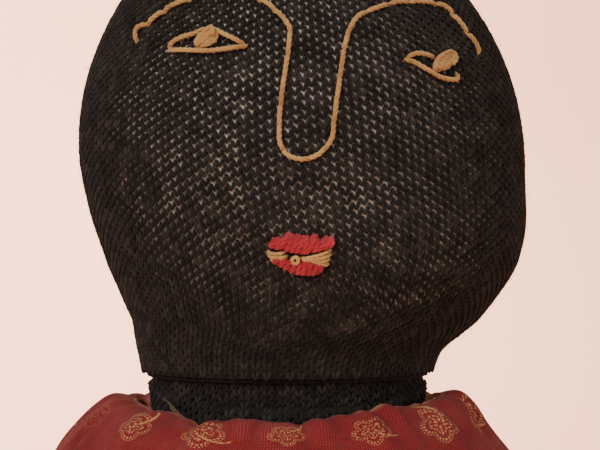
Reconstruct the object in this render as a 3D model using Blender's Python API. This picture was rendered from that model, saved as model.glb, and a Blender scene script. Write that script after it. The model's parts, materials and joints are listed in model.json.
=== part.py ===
"""A stuffed knit doll in a calico dress: a stocking head with an embroidered face, a legless stuffed
body on a flat weighted base, and two arms in puffed sleeves. Metres, +Z up, the face towards -Y,
the origin at the middle of the base."""

from math import asin, cos, pi, radians, sin, sqrt

import bmesh
import bpy
import numpy as np
from mathutils import Vector

# Overall sizes.
NECK_HEIGHT = 0.282  # from the floor to the crease where the head meets the neck
HEAD_HEIGHT = 0.118
HEAD_HALF_WIDTH = 0.0555
HEAD_HALF_DEPTH = 0.0505
HEAD_WIDEST_AT = 0.44  # share of the head's height
HEAD_LEAN = 0.006  # how far the stuffing has pushed the cheeks to the doll's left
ARM_LENGTH = 0.128
HEM_RADIUS = 0.088

# The neck, a ball joint of cloth: everything there is a sphere round the same pivot.
NECK_RADIUS = 0.033
NECK_THREAD_RADIUS = 0.0006
NECK_THREAD_GAP = 0.0006
PLUG_RADIUS = 0.022
PLUG_STEM_RADIUS = 0.010
PLUG_STEM_TOP = 0.050
NECK_TAPER = 0.0005  # the body below the neck's dome is this much narrower
HEAD_RIM_HEIGHT = 0.0008
NECK_DOME_TOP = 0.014
NECK_DOME_FOOT = 0.010
NECK_ROOT_SHARE = 1.8  # how much deeper than the dome's foot the neck meets the body
STUFFING_DOME_TOP = 0.008

# Cloth, gaps and yarn.
KNIT_WALL = 0.0015
CLOTH_WALL = 0.0012
GAP = 0.0003
SLIDING_GAP = 0.0009
YARN_RADIUS = 0.0006
YARN_LIFT = 0.0001  # of the face yarn off the knit, beyond its gap
DRAWSTRING_EASE = 0.0002
CROWN_HOLE_RADIUS = 0.004
CROWN_KNOT_RADIUS = 0.0065

# The dress.
COLLAR_CLEARANCE = 0.0023  # between the head's rim and the inside of the neckline
COLLAR_DROP = 0.0072
COLLAR_SLANT = 0.075  # the neckline is lower at the front
YOKE_OVERHANG = 0.0055  # past the shoulder's pivot
YOKE_DEPTH_OVERHANG = 0.0053  # past the neckline, front and back
YOKE_DROP = 0.030
WAIST_HALF_WIDTH = 0.044
WAIST_DROP = 0.070
HEM_HEIGHT = 0.004
PANEL_GAP = 0.0004

# The arms.
BODY_EASE = 0.0025  # between the body and the inside of the dress
SHOULDER_DROP = 0.045
SHOULDER_GAP = 0.002
ARMHOLE_GAP = 0.0035
SLEEVE_BALL_RADIUS = 0.020
SLEEVE_RADIUS = 0.0145
CUFF_RADIUS = 0.0125
CUFF_AT = 0.080
CUFF_FRILL = 0.006
ARM_HANGS_OUT = radians(17)
ARM_RADIUS = 0.0105
ARM_TOP = 0.009
ARM_KNIT_WALL = 0.0012
HAND_HALF_WIDTH = 0.0125
HAND_HALF_THICKNESS = 0.0085
TAB_RADIUS = 0.0065
TAB_HALF_THICKNESS = 0.0025

# The base.
COVER_THICKNESS = 0.0012
CARD_THICKNESS = 0.0025
BASE_RIM_INSET = 0.004
BASE_RIM_HEIGHT = 0.018
WEIGHT_RADIUS = 0.042
WEIGHT_HEIGHT = 0.020

# The face, in the head's own plane: across from the neck's axis, and up from the crease.
NOSE_HALF_WIDTH = 0.0064
NOSE_MIDDLE = 0.0054
NOSE_FOOT = 0.052
BROW_HEIGHT = 0.0905
EYE_HEIGHT = 0.0795
MOUTH_MIDDLE = 0.0031
MOUTH_HEIGHT = 0.0297
LIP_HALF_WIDTH = 0.0081
LIP_HALF_HEIGHT = 0.0021
TEETH_HALF_HEIGHT = 0.0012

# Derived places.
HEAD_CAVITY_RADIUS = NECK_RADIUS + NECK_THREAD_GAP + 2 * NECK_THREAD_RADIUS + SLIDING_GAP
HEAD_RIM_RADIUS = HEAD_CAVITY_RADIUS + KNIT_WALL
COLLAR_RADIUS = HEAD_RIM_RADIUS + COLLAR_CLEARANCE + CLOTH_WALL
YOKE_HALF_DEPTH = COLLAR_RADIUS + YOKE_DEPTH_OVERHANG
BODY_TOP_RADIUS = NECK_RADIUS - NECK_TAPER
SHOULDER_X = BODY_TOP_RADIUS + SHOULDER_GAP + SLEEVE_BALL_RADIUS
ARMHOLE_RADIUS = SLEEVE_BALL_RADIUS + ARMHOLE_GAP
PIVOT = Vector((0, 0, NECK_HEIGHT))
PROFILE_STEP = 0.0005  # for reading a slope

HEAD_SEGMENTS = 28
BODY_SEGMENTS = 28
SMALL_SEGMENTS = 14
PANEL_SEGMENTS = 14
BALL_SEGMENTS = 28
THREAD_SEGMENTS = 28
THREAD_SIDES = 4

# name: colour, roughness, metallic
FINISHES = {
    "black_knit": ((0.018, 0.014, 0.012, 1), 0.95, 0),
    "cream_stuffing": ((0.62, 0.53, 0.40, 1), 0.95, 0),
    "tan_yarn": ((0.58, 0.36, 0.14, 1), 0.85, 0),
    "red_yarn": ((0.62, 0.07, 0.08, 1), 0.85, 0),
    "straw_yarn": ((0.72, 0.45, 0.16, 1), 0.85, 0),
    "black_thread": ((0.01, 0.009, 0.008, 1), 0.9, 0),
    "red_calico": ((0.31, 0.035, 0.03, 1), 0.9, 0),
    "card": ((0.40, 0.28, 0.16, 1), 0.9, 0),
    "grit": ((0.30, 0.27, 0.22, 1), 0.8, 0),
}


def clear_scene():
    for found in list(bpy.data.objects):
        bpy.data.objects.remove(found, do_unlink=True)


def finish(name):
    """The material of that name, made once."""
    if name in bpy.data.materials:
        return bpy.data.materials[name]
    colour, roughness, metallic = FINISHES[name]
    made = bpy.data.materials.new(name)
    made.use_nodes = True
    shader = made.node_tree.nodes["Principled BSDF"]
    shader.inputs["Base Color"].default_value = colour
    shader.inputs["Roughness"].default_value = roughness
    shader.inputs["Metallic"].default_value = metallic
    return made


def through(points, at):
    """A smooth curve through (x, y) points that never overshoots them, read at one x."""
    x, y = np.array(points, float).T
    at = min(max(at, x[0]), x[-1])
    slope = np.diff(y) / np.diff(x)
    turn = np.zeros(len(x))
    for i in range(1, len(x) - 1):
        if slope[i - 1] * slope[i] > 0:
            turn[i] = 2 * slope[i - 1] * slope[i] / (slope[i - 1] + slope[i])
    turn[0], turn[-1] = slope[0], slope[-1]
    i = min(int(np.searchsorted(x, at, side="right")) - 1, len(x) - 2)
    width = x[i + 1] - x[i]
    t = (at - x[i]) / width
    return float(
        y[i] * (1 + 2 * t) * (1 - t) ** 2
        + turn[i] * width * t * (1 - t) ** 2
        + y[i + 1] * t * t * (3 - 2 * t)
        + turn[i + 1] * width * t * t * (t - 1)
    )


def add(name, mesh, colour, at=(0, 0, 0), lean=0.0):
    """An object of that mesh, smooth where it is round, placed at a point and leant about Y."""
    mesh.materials.append(finish(colour))
    mesh.shade_smooth()
    mesh.set_sharp_from_angle(angle=radians(40))
    made = bpy.data.objects.new(name, mesh)
    made.location = at
    made.rotation_euler = (0, lean, 0)
    bpy.context.collection.objects.link(made)
    return made


def ring(half_width, half_depth, height, shift=0.0, segments=BODY_SEGMENTS, start=0.0, sweep=2 * pi):
    """Points round an ellipse at one height. A part sweep keeps its end point."""
    count = segments if sweep == 2 * pi else segments + 1
    angles = [start + sweep * i / segments for i in range(count)]
    return [Vector((shift + half_width * cos(a), half_depth * sin(a), height)) for a in angles]


def skin(rings, capped=True, loop=False):
    """A mesh over rings of points. Capped closes both ends, and loop joins the last ring to the first."""
    shape = bmesh.new()
    rows = [[shape.verts.new(p) for p in points] for points in rings]
    pairs = list(zip(rows, rows[1:] + rows[:1])) if loop else list(zip(rows, rows[1:]))
    for low, high in pairs:
        for i in range(len(low)):
            j = (i + 1) % len(low)
            shape.faces.new((low[i], low[j], high[j], high[i]))
    if capped and not loop:
        for row in (rows[0], rows[-1]):
            middle = shape.verts.new(sum((v.co for v in row), Vector()) / len(row))
            for i in range(len(row)):
                shape.faces.new((row[i], row[(i + 1) % len(row)], middle))
    bmesh.ops.recalc_face_normals(shape, faces=shape.faces)
    mesh = bpy.data.meshes.new("skin")
    shape.to_mesh(mesh)
    shape.free()
    return mesh


def strip(rings):
    """An open mesh over part rings, whose ends stay apart."""
    shape = bmesh.new()
    rows = [[shape.verts.new(p) for p in points] for points in rings]
    for low, high in zip(rows, rows[1:]):
        for i in range(len(low) - 1):
            shape.faces.new((low[i], low[i + 1], high[i + 1], high[i]))
    bmesh.ops.recalc_face_normals(shape, faces=shape.faces)
    mesh = bpy.data.meshes.new("strip")
    shape.to_mesh(mesh)
    shape.free()
    return mesh


def turned(profile, segments):
    """A closed turned solid. The profile is (radius, height) from one end of the axis to the other."""
    return skin([ring(r, r, z, segments=segments) for r, z in profile])


def tube_ring(radius, tube_radius, around):
    """A closed ring of thread: around tells the height at an angle."""
    rows = []
    for i in range(THREAD_SEGMENTS):
        a = 2 * pi * i / THREAD_SEGMENTS
        rows.append([
            Vector((
                (radius + tube_radius * cos(b)) * cos(a),
                (radius + tube_radius * cos(b)) * sin(a),
                around(a) + tube_radius * sin(b),
            ))
            for b in (2 * pi * j / THREAD_SIDES for j in range(THREAD_SIDES))
        ])
    return skin(rows, loop=True)


def cut(target, *cutters):
    for cutter in cutters:
        cutter.hide_render = True
        cutter.display_type = "WIRE"
        modifier = target.modifiers.new(cutter.name, "BOOLEAN")
        modifier.operation = "DIFFERENCE"
        modifier.object = cutter


def ball_mesh(radius, segments=BALL_SEGMENTS):
    shape = bmesh.new()
    bmesh.ops.create_uvsphere(shape, u_segments=segments, v_segments=segments // 2, radius=radius)
    mesh = bpy.data.meshes.new("ball")
    shape.to_mesh(mesh)
    shape.free()
    return mesh


# --- The head ---------------------------------------------------------------------------------------


def head_size(height):
    """(half width, half depth, shift) of the head's outer surface at a height above the crease."""
    widest = HEAD_WIDEST_AT * HEAD_HEIGHT
    lean = through([(0, 0), (0.09, 0.77), (0.24, 1), (0.44, 0.63), (0.79, 0.32), (1, 0.25)],
                   height / HEAD_HEIGHT)
    if height < widest:
        jaw = through([(0, 0), (0.08, 0.06), (0.19, 0.25), (0.35, 0.53), (0.54, 0.8), (0.77, 0.955), (1, 1)],
                      (height - HEAD_RIM_HEIGHT) / (widest - HEAD_RIM_HEIGHT))
        sizes = [HEAD_RIM_RADIUS + jaw * (full - HEAD_RIM_RADIUS)
                 for full in (HEAD_HALF_WIDTH, HEAD_HALF_DEPTH)]
    else:
        crown = sqrt(max(0.0, 1 - ((height - widest) / (HEAD_HEIGHT - widest)) ** 2))
        sizes = [HEAD_HALF_WIDTH * crown, HEAD_HALF_DEPTH * crown]
    return sizes[0], sizes[1], lean * HEAD_LEAN


def head_rings(inset, low, high_radius, count):
    """Rings over the head, from a height up to where the crown closes to a radius."""
    widest = HEAD_WIDEST_AT * HEAD_HEIGHT
    rings = []
    steps_below = count // 2
    for i in range(steps_below):
        height = low + (widest - low) * i / steps_below
        half_width, half_depth, shift = head_size(height)
        slope = (head_size(height + PROFILE_STEP)[0] - half_width) / PROFILE_STEP
        slant_inset = inset * sqrt(1 + slope * slope)
        rings.append(ring(half_width - slant_inset, half_depth - slant_inset, NECK_HEIGHT + height, shift,
                          HEAD_SEGMENTS))
    last = pi / 2 - asin(min(1, high_radius / (HEAD_HALF_WIDTH - inset)))
    for i in range(count - steps_below + 1):
        turn = last * i / (count - steps_below)
        height = widest + (HEAD_HEIGHT - widest - inset) * sin(turn)
        shift = head_size(height)[2]
        rings.append(ring((HEAD_HALF_WIDTH - inset) * cos(turn), (HEAD_HALF_DEPTH - inset) * cos(turn),
                          NECK_HEIGHT + height, shift, HEAD_SEGMENTS))
    return rings


def make_head_knit():
    """The stocking: a shell with a hole gathered at the crown and a rim that meets the neck."""
    made = add("head_knit", skin(head_rings(0, HEAD_RIM_HEIGHT, CROWN_HOLE_RADIUS, 14), capped=False),
               "black_knit")
    solid = made.modifiers.new("wall", "SOLIDIFY")
    solid.thickness = KNIT_WALL
    solid.offset = -1
    return made


def make_head_stuffing():
    """Stuffing, hollowed below for the neck's dome and bored for the stem of the neck plug."""
    inset = KNIT_WALL + 2 * GAP
    made = add("head_stuffing", skin(head_rings(inset, NECK_DOME_TOP, CROWN_HOLE_RADIUS, 10)),
               "cream_stuffing")
    hollow = add("head_hollow", ball_mesh(HEAD_CAVITY_RADIUS), "cream_stuffing", PIVOT)
    bore = add("stem_bore", turned([
        (PLUG_STEM_RADIUS + SLIDING_GAP, 0),
        (PLUG_STEM_RADIUS + SLIDING_GAP, PLUG_STEM_TOP + SLIDING_GAP),
    ], SMALL_SEGMENTS), "cream_stuffing", PIVOT)
    cut(made, hollow, bore)
    return made


def make_crown_gather():
    """The knot of thread that gathers the stocking shut at the crown."""
    shift = head_size(HEAD_HEIGHT)[2]
    profile = [(CROWN_KNOT_RADIUS * cos(t), CROWN_HOLE_RADIUS * 0.5 * sin(t))
               for t in np.linspace(-0.45 * pi, 0.45 * pi, 5)]
    lift = CROWN_HOLE_RADIUS * 0.5 + GAP
    return add("crown_gather", turned(profile, SMALL_SEGMENTS), "black_thread",
               (shift, 0, NECK_HEIGHT + HEAD_HEIGHT + lift))


# --- The face ---------------------------------------------------------------------------------------


def on_face(across, height, lift):
    """A point that stands a lift off the front of the head."""
    def surface(x, z):
        half_width, half_depth, shift = head_size(z)
        share = min(0.98, abs((x - shift) / half_width))
        return Vector((x, -half_depth * sqrt(1 - share * share), z))

    here = surface(across, height)
    sideways, upwards = surface(across + PROFILE_STEP, height), surface(across, height + PROFILE_STEP)
    normal = (sideways - here).cross(upwards - here)
    return here + normal.normalized() * lift + PIVOT


def yarn(name, points, colour, closed=False, samples=3):
    """Yarn laid on the face along a smooth line through (across, height) points."""
    line = bpy.data.curves.new(name, "CURVE")
    line.dimensions = "3D"
    line.bevel_depth = YARN_RADIUS
    line.bevel_resolution = 1
    line.use_fill_caps = True
    steps = np.arange(len(points), dtype=float)
    count = samples * (len(points) - 1) + 1
    at = np.linspace(0, len(points) - 1, count)
    path = [(through(list(zip(steps, [p[0] for p in points])), t),
             through(list(zip(steps, [p[1] for p in points])), t)) for t in at]
    if closed:
        path = path[:-1]
    spline = line.splines.new("POLY")
    spline.points.add(len(path) - 1)
    for point, (across, height) in zip(spline.points, path):
        point.co = (*on_face(across, height, YARN_RADIUS + GAP + YARN_LIFT), 1)
    spline.use_cyclic_u = closed
    line.materials.append(finish(colour))
    made = bpy.data.objects.new(name, line)
    bpy.context.collection.objects.link(made)
    return made


def pad(name, across, height, half_width, half_height, half_thickness, colour):
    """A satin-stitched pad: a flattened ball that faces out from the head."""
    mesh = ball_mesh(1, 8)
    mesh.transform(((half_width, 0, 0, 0), (0, half_thickness, 0, 0), (0, 0, half_height, 0), (0, 0, 0, 1)))
    at = on_face(across, height, half_thickness + GAP)
    out = (at - on_face(across, height, 0)).normalized()
    made = add(name, mesh, colour, at)
    made.rotation_euler = Vector((0, -1, 0)).rotation_difference(out).to_euler()
    return made


def make_brow_and_nose():
    """One long line of backstitch: a brow, down and round the nose, and up into the other brow."""
    mid, half, brow = NOSE_MIDDLE, NOSE_HALF_WIDTH, BROW_HEIGHT
    right_half = [
        (mid - 0.0430, brow - 0.0095), (mid - 0.0395, brow - 0.0035), (mid - 0.0330, brow + 0.0005),
        (mid - 0.0240, brow + 0.0020), (mid - 0.0150, brow - 0.0010), (mid - 0.0085, brow - 0.0065),
        (mid - half + 0.0008, brow - 0.0140), (mid - half, NOSE_FOOT + 0.0130),
        (mid - half, NOSE_FOOT + 0.0055), (mid - 0.0045, NOSE_FOOT + 0.0010), (mid, NOSE_FOOT),
    ]
    left_half = [(2 * mid - across, height - 0.0015) for across, height in right_half[-2::-1]]
    return yarn("brow_and_nose_yarn", right_half + left_half, "tan_yarn", samples=2)


def make_eyes():
    """Almond outlines, each with a knot for the pupil. The doll's left eye is worked lower."""
    right_middle, left_middle = NOSE_MIDDLE - 0.0250, NOSE_MIDDLE + 0.0290
    half, left_eye = 0.0096, EYE_HEIGHT - 0.0058
    yarn("right_eye_outline", [
        (right_middle - half, EYE_HEIGHT - 0.0025), (right_middle - 0.0045, EYE_HEIGHT + 0.0010),
        (right_middle + 0.0006, EYE_HEIGHT + 0.0030), (right_middle + 0.0050, EYE_HEIGHT + 0.0005),
        (right_middle + half, EYE_HEIGHT - 0.0015), (right_middle + 0.0020, EYE_HEIGHT - 0.0032),
        (right_middle - half, EYE_HEIGHT - 0.0025),
    ], "tan_yarn", closed=True, samples=3)
    pad("right_eye_knot", right_middle + 0.0006, EYE_HEIGHT - 0.0002, 0.0021, 0.0011, 0.001, "tan_yarn")
    yarn("left_eye_outline", [
        (left_middle + 0.0010, left_eye + 0.0030), (left_middle - 0.0035, left_eye + 0.0020),
        (left_middle - 0.0060, left_eye + 0.0005), (left_middle - 0.0020, left_eye - 0.0020),
        (left_middle + 0.0040, left_eye - 0.0040), (left_middle + 0.0080, left_eye - 0.0042),
    ], "tan_yarn")
    pad("left_eye_knot", left_middle + 0.0052, left_eye + 0.0003, 0.0026, 0.0021, 0.0012, "tan_yarn")


def make_mouth():
    """Two red lips with straw-coloured teeth between them."""
    apart = LIP_HALF_HEIGHT + TEETH_HALF_HEIGHT + GAP
    pad("upper_lip_stitches", MOUTH_MIDDLE, MOUTH_HEIGHT + apart,
        LIP_HALF_WIDTH, LIP_HALF_HEIGHT, 0.0012, "red_yarn")
    pad("teeth_stitches", MOUTH_MIDDLE, MOUTH_HEIGHT,
        LIP_HALF_WIDTH - GAP, TEETH_HALF_HEIGHT, 0.0009, "straw_yarn")
    pad("lower_lip_stitches", MOUTH_MIDDLE - 0.0006, MOUTH_HEIGHT - apart,
        LIP_HALF_WIDTH - 0.0018, LIP_HALF_HEIGHT, 0.0012, "red_yarn")


# --- The neck ---------------------------------------------------------------------------------------


def make_neck():
    """The thread wound round the crease, and the rolled plug that stiffens the neck inside."""
    radius = NECK_RADIUS + NECK_THREAD_GAP + NECK_THREAD_RADIUS
    thread = tube_ring(radius, NECK_THREAD_RADIUS, lambda angle: 0)
    add("neck_tie", thread, "black_thread", PIVOT)
    low = [(PLUG_RADIUS * cos(t), PLUG_RADIUS * sin(t)) for t in np.linspace(-0.47 * pi, 0, 7)]
    meets = sqrt(PLUG_RADIUS ** 2 - PLUG_STEM_RADIUS ** 2)
    high = [(PLUG_RADIUS * cos(t), PLUG_RADIUS * sin(t))
            for t in np.linspace(0, asin(meets / PLUG_RADIUS), 6)]
    stem = [(PLUG_STEM_RADIUS, PLUG_STEM_TOP)]
    add("neck_plug", turned(low + high[1:] + stem, SMALL_SEGMENTS), "cream_stuffing", PIVOT)


# --- The body ---------------------------------------------------------------------------------------


def skirt_radius(height):
    """The dress's outer radius at a height above the floor, from the hem up to the waist."""
    waist = NECK_HEIGHT - WAIST_DROP
    share = (waist - height) / (waist - HEM_HEIGHT)
    flare = through([(0, 0), (0.1, 0.04), (0.24, 0.18), (1, 1)], share)
    return WAIST_HALF_WIDTH + flare * (HEM_RADIUS - WAIST_HALF_WIDTH)


def bodice_depth(height):
    """The dress's outer half depth at a height above the floor, from the waist up to the yoke."""
    share = (NECK_HEIGHT - YOKE_DROP - height) / (WAIST_DROP - YOKE_DROP)
    narrow = share * share * (3 - 2 * share)
    return YOKE_HALF_DEPTH + narrow * (WAIST_HALF_WIDTH - YOKE_HALF_DEPTH)


def body_sizes(inset, foot, dome_top):
    """(half width, half depth, height) up the body's outside, from its foot onto the neck's dome."""
    ease = CLOTH_WALL + BODY_EASE
    rim = base_radius()
    waist, shoulder = NECK_HEIGHT - WAIST_DROP, NECK_HEIGHT - SHOULDER_DROP
    yoke, side = NECK_HEIGHT - YOKE_DROP, WAIST_HALF_WIDTH - ease
    sizes = [(rim, rim, foot), (rim + 0.6 * BASE_RIM_INSET, rim + 0.6 * BASE_RIM_INSET,
                                foot + 0.25 * (BASE_RIM_HEIGHT - foot))]
    for height in np.linspace(BASE_RIM_HEIGHT, waist, 7):
        radius = skirt_radius(height) - ease
        sizes.append((radius, radius, height))
    for half_width, height in ((0.45 * side + 0.55 * BODY_TOP_RADIUS, 0.5 * (waist + shoulder)),
                               (BODY_TOP_RADIUS, shoulder), (BODY_TOP_RADIUS, yoke)):
        sizes.append((half_width, bodice_depth(height) - ease, height))
    neck_foot = min(sqrt(NECK_RADIUS ** 2 - NECK_DOME_FOOT ** 2), BODY_TOP_RADIUS)
    sizes.append((neck_foot, neck_foot, NECK_HEIGHT - NECK_ROOT_SHARE * NECK_DOME_FOOT))
    sizes = [(wide - inset, deep - inset, height) for wide, deep, height in sizes]
    dome = NECK_RADIUS - inset
    low_angle, high_angle = -asin(NECK_DOME_FOOT / NECK_RADIUS), asin(dome_top / dome)
    for angle in np.linspace(low_angle, high_angle, 5):
        sizes.append((dome * cos(angle), dome * cos(angle), NECK_HEIGHT + dome * sin(angle)))
    return sizes


def base_radius():
    return skirt_radius(BASE_RIM_HEIGHT) - CLOTH_WALL - BODY_EASE - BASE_RIM_INSET


def make_body_knit():
    """The stocking over the body: open at the base and at the top of the neck."""
    foot = COVER_THICKNESS + GAP
    rings = [ring(*sizes) for sizes in body_sizes(0, foot, NECK_DOME_TOP)]
    made = add("body_knit", skin(rings, capped=False), "black_knit")
    solid = made.modifiers.new("wall", "SOLIDIFY")
    solid.thickness = KNIT_WALL
    solid.offset = -1


def make_body_stuffing():
    """Stuffing with a pocket below for the weight and a round seat above for the neck plug."""
    foot = COVER_THICKNESS + CARD_THICKNESS + 2 * GAP
    pocket_radius, pocket_top = WEIGHT_RADIUS + GAP, foot + WEIGHT_HEIGHT + 2 * GAP
    seat = PLUG_RADIUS + SLIDING_GAP
    inset = KNIT_WALL + 2 * GAP
    pocket = [(0.5 * pocket_radius, pocket_top), (pocket_radius, pocket_top), (pocket_radius, foot)]
    rim_angle = asin(STUFFING_DOME_TOP / seat)
    cup = [(seat * cos(t), NECK_HEIGHT + seat * sin(t)) for t in np.linspace(rim_angle, -0.47 * pi, 7)]
    rings = [ring(r, r, z) for r, z in pocket]
    rings += [ring(*sizes) for sizes in body_sizes(inset, foot, STUFFING_DOME_TOP)]
    rings += [ring(r, r, z) for r, z in cup]
    add("body_stuffing", skin(rings), "cream_stuffing")


def make_base():
    """A cloth cover with the stiff card it is drawn over, and the bag of grit that weights the doll."""
    rim = base_radius()
    add("base_cover", turned([(rim, 0), (rim, COVER_THICKNESS)], BODY_SEGMENTS), "black_knit")
    card_foot = COVER_THICKNESS + GAP
    card_radius = rim - KNIT_WALL - 2 * GAP
    add("base_card", turned([(card_radius, card_foot), (card_radius, card_foot + CARD_THICKNESS)],
                            BODY_SEGMENTS), "card")
    foot = card_foot + CARD_THICKNESS + GAP
    round_off = WEIGHT_HEIGHT * 0.3
    add("base_weight", turned([
        (WEIGHT_RADIUS - round_off, foot), (WEIGHT_RADIUS - 0.3 * round_off, foot + 0.3 * round_off),
        (WEIGHT_RADIUS - GAP, foot + round_off), (WEIGHT_RADIUS - GAP, foot + WEIGHT_HEIGHT - round_off),
        (WEIGHT_RADIUS - 0.3 * round_off, foot + WEIGHT_HEIGHT - 0.3 * round_off),
        (WEIGHT_RADIUS - round_off, foot + WEIGHT_HEIGHT),
    ], SMALL_SEGMENTS), "grit")


# --- The dress --------------------------------------------------------------------------------------


def collar_height(y, share=1.0):
    """The neckline's height above the floor at a place from front to back."""
    return NECK_HEIGHT - COLLAR_DROP + share * COLLAR_SLANT * y


def dress_sizes():
    """(half width, half depth, height, how far the neckline's slant still counts) down the dress."""
    yoke = SHOULDER_X + YOKE_OVERHANG
    rows = []
    for wide, deep, drop, slant in (
        (0, 0, 0, 1), (0.18, 0.35, -0.01, 1), (0.38, 0.6, 0.06, 0.8), (0.63, 0.8, 0.25, 0.5),
        (0.85, 0.93, 0.51, 0.25), (0.97, 0.98, 0.76, 0.1), (1, 1, 1, 0),
    ):
        rows.append((
            COLLAR_RADIUS + wide * (yoke - COLLAR_RADIUS),
            COLLAR_RADIUS + deep * (YOKE_HALF_DEPTH - COLLAR_RADIUS),
            NECK_HEIGHT - COLLAR_DROP - drop * (YOKE_DROP - COLLAR_DROP),
            slant,
        ))
    for share in (0.3, 0.65, 1):
        narrow = share * share * (3 - 2 * share)
        height = NECK_HEIGHT - YOKE_DROP - share * (WAIST_DROP - YOKE_DROP)
        rows.append((yoke + narrow * (WAIST_HALF_WIDTH - yoke), bodice_depth(height), height, 0))
    waist = NECK_HEIGHT - WAIST_DROP
    for share in (0.1, 0.24, 0.42, 0.62, 0.81, 1):
        height = waist + share * (HEM_HEIGHT - waist)
        rows.append((skirt_radius(height), skirt_radius(height), height, 0))
    return rows


def make_dress_panel(name, side, armholes):
    """One half of the dress, front or back, with a cut round each sleeve."""
    rings = []
    for half_width, half_depth, height, slant in dress_sizes():
        away = asin(PANEL_GAP / half_depth)
        row = ring(half_width, half_depth, height, segments=PANEL_SEGMENTS, start=away, sweep=pi - 2 * away)
        rings.append([
            Vector((p.x, side * p.y, p.z + COLLAR_SLANT * slant * side * p.y)) for p in row
        ])
    made = add(name, strip(rings), "red_calico")
    solid = made.modifiers.new("wall", "SOLIDIFY")
    solid.thickness = CLOTH_WALL
    solid.offset = -1 if is_facing_out(made.data) else 1
    cut(made, *armholes)


def is_facing_out(mesh):
    """Whether an open shell's faces point away from the doll's axis."""
    return sum(f.normal.x * f.center.x + f.normal.y * f.center.y for f in mesh.polygons) > 0


def make_dress():
    """Front and back panels, and the thread that gathers the neckline inside its casing."""
    armholes = [
        add(name, ball_mesh(ARMHOLE_RADIUS), "red_calico", (x, 0, NECK_HEIGHT - SHOULDER_DROP))
        for name, x in (("right_armhole", -SHOULDER_X), ("left_armhole", SHOULDER_X))
    ]
    make_dress_panel("dress_front", -1, armholes)
    make_dress_panel("dress_back", 1, armholes)
    radius = COLLAR_RADIUS - CLOTH_WALL - GAP - YARN_RADIUS - DRAWSTRING_EASE
    below = 6 * YARN_RADIUS
    add("neckline_drawstring",
        tube_ring(radius, YARN_RADIUS, lambda angle: collar_height(radius * sin(angle)) - below),
        "tan_yarn")


# --- The arms ---------------------------------------------------------------------------------------


def along_arm(profile, segments=SMALL_SEGMENTS):
    """Rings down an arm that hangs from its pivot: (half width, half thickness, distance)."""
    return [ring(thick, wide, -down, segments=segments) for wide, thick, down in profile]


def make_sleeve(name, at, lean):
    """A puffed sleeve: a ball of cloth round the shoulder, a tube, and a frill below the cuff's gathers."""
    ball = [(SLEEVE_BALL_RADIUS * cos(t), -SLEEVE_BALL_RADIUS * sin(t))
            for t in np.linspace(0.46 * pi, -0.24 * pi, 8)]
    profile = [(r, r, d) for r, d in ball] + [
        (SLEEVE_RADIUS, SLEEVE_RADIUS, SLEEVE_BALL_RADIUS * 0.95),
        (SLEEVE_RADIUS, SLEEVE_RADIUS, CUFF_AT * 0.55),
        (SLEEVE_RADIUS, SLEEVE_RADIUS, CUFF_AT * 0.88),
        (CUFF_RADIUS, CUFF_RADIUS, CUFF_AT - 0.001),
        (CUFF_RADIUS, CUFF_RADIUS, CUFF_AT + 0.001),
        (CUFF_RADIUS + 0.0015, CUFF_RADIUS + 0.0015, CUFF_AT + CUFF_FRILL),
    ]
    outer = along_arm(profile)
    inner = along_arm([(r - CLOTH_WALL, r - CLOTH_WALL, max(d, -SLEEVE_BALL_RADIUS + 2 * CLOTH_WALL))
                       for r, _, d in profile if r > 2 * CLOTH_WALL])
    add(name, skin(outer + inner[::-1]), "red_calico", at, lean)


def hand_profile(inset, top):
    """(half width, half thickness, distance) of the arm and its mitten hand, closing at the tip."""
    wrist = CUFF_AT + CUFF_FRILL
    palm = ARM_LENGTH - HAND_HALF_WIDTH
    rows = [
        (ARM_RADIUS, ARM_RADIUS, top), (ARM_RADIUS, ARM_RADIUS, 0.5 * (top + wrist)),
        (ARM_RADIUS, ARM_RADIUS, wrist),
        (0.5 * (ARM_RADIUS + HAND_HALF_WIDTH), 0.5 * (ARM_RADIUS + HAND_HALF_THICKNESS),
         0.5 * (wrist + palm)),
    ]
    for turn in np.linspace(0, 0.44 * pi, 5):
        rows.append((HAND_HALF_WIDTH * cos(turn), HAND_HALF_THICKNESS * cos(turn),
                     palm + HAND_HALF_WIDTH * sin(turn)))
    return [(wide - inset, thick - inset, min(down, ARM_LENGTH - inset)) for wide, thick, down in rows]


def make_arm(side, name):
    """A stuffed knit arm with a mitten hand in its sleeve, hung from a flat unstuffed tab."""
    at = (side * SHOULDER_X, 0, NECK_HEIGHT - SHOULDER_DROP)
    lean = -side * ARM_HANGS_OUT
    make_sleeve(name + "_sleeve", at, lean)
    outer = hand_profile(0, ARM_TOP)
    inner = hand_profile(ARM_KNIT_WALL, ARM_TOP)
    inner = [row for row in inner if min(row[:2]) > ARM_KNIT_WALL]
    knit = skin(along_arm([(0.3 * w, 0.3 * t, d) for w, t, d in inner[-1:]] + inner[::-1] + outer))
    add(name + "_arm_knit", knit, "black_knit", at, lean)
    stuffing = [row for row in hand_profile(ARM_KNIT_WALL + 2 * GAP, ARM_TOP + GAP) if min(row[:2]) > 0.001]
    stuffing[-1] = (*stuffing[-1][:2], stuffing[-1][2] - 2 * GAP)
    add(name + "_arm_stuffing", skin(along_arm(stuffing)), "cream_stuffing", at, lean)
    tab = [(TAB_RADIUS * cos(t), TAB_HALF_THICKNESS * sin(t)) for t in np.linspace(-0.42 * pi, 0.42 * pi, 5)]
    mesh = turned(tab, SMALL_SEGMENTS)
    mesh.transform(((0, 0, 1, 0), (0, 1, 0, 0), (-1, 0, 0, 0), (0, 0, 0, 1)))
    add(name + "_shoulder_tab", mesh, "black_knit", at)
    thread = tube_ring(CUFF_RADIUS + GAP + YARN_RADIUS, YARN_RADIUS, lambda angle: -CUFF_AT)
    add(name + "_cuff_thread", thread, "tan_yarn", at, lean)


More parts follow.
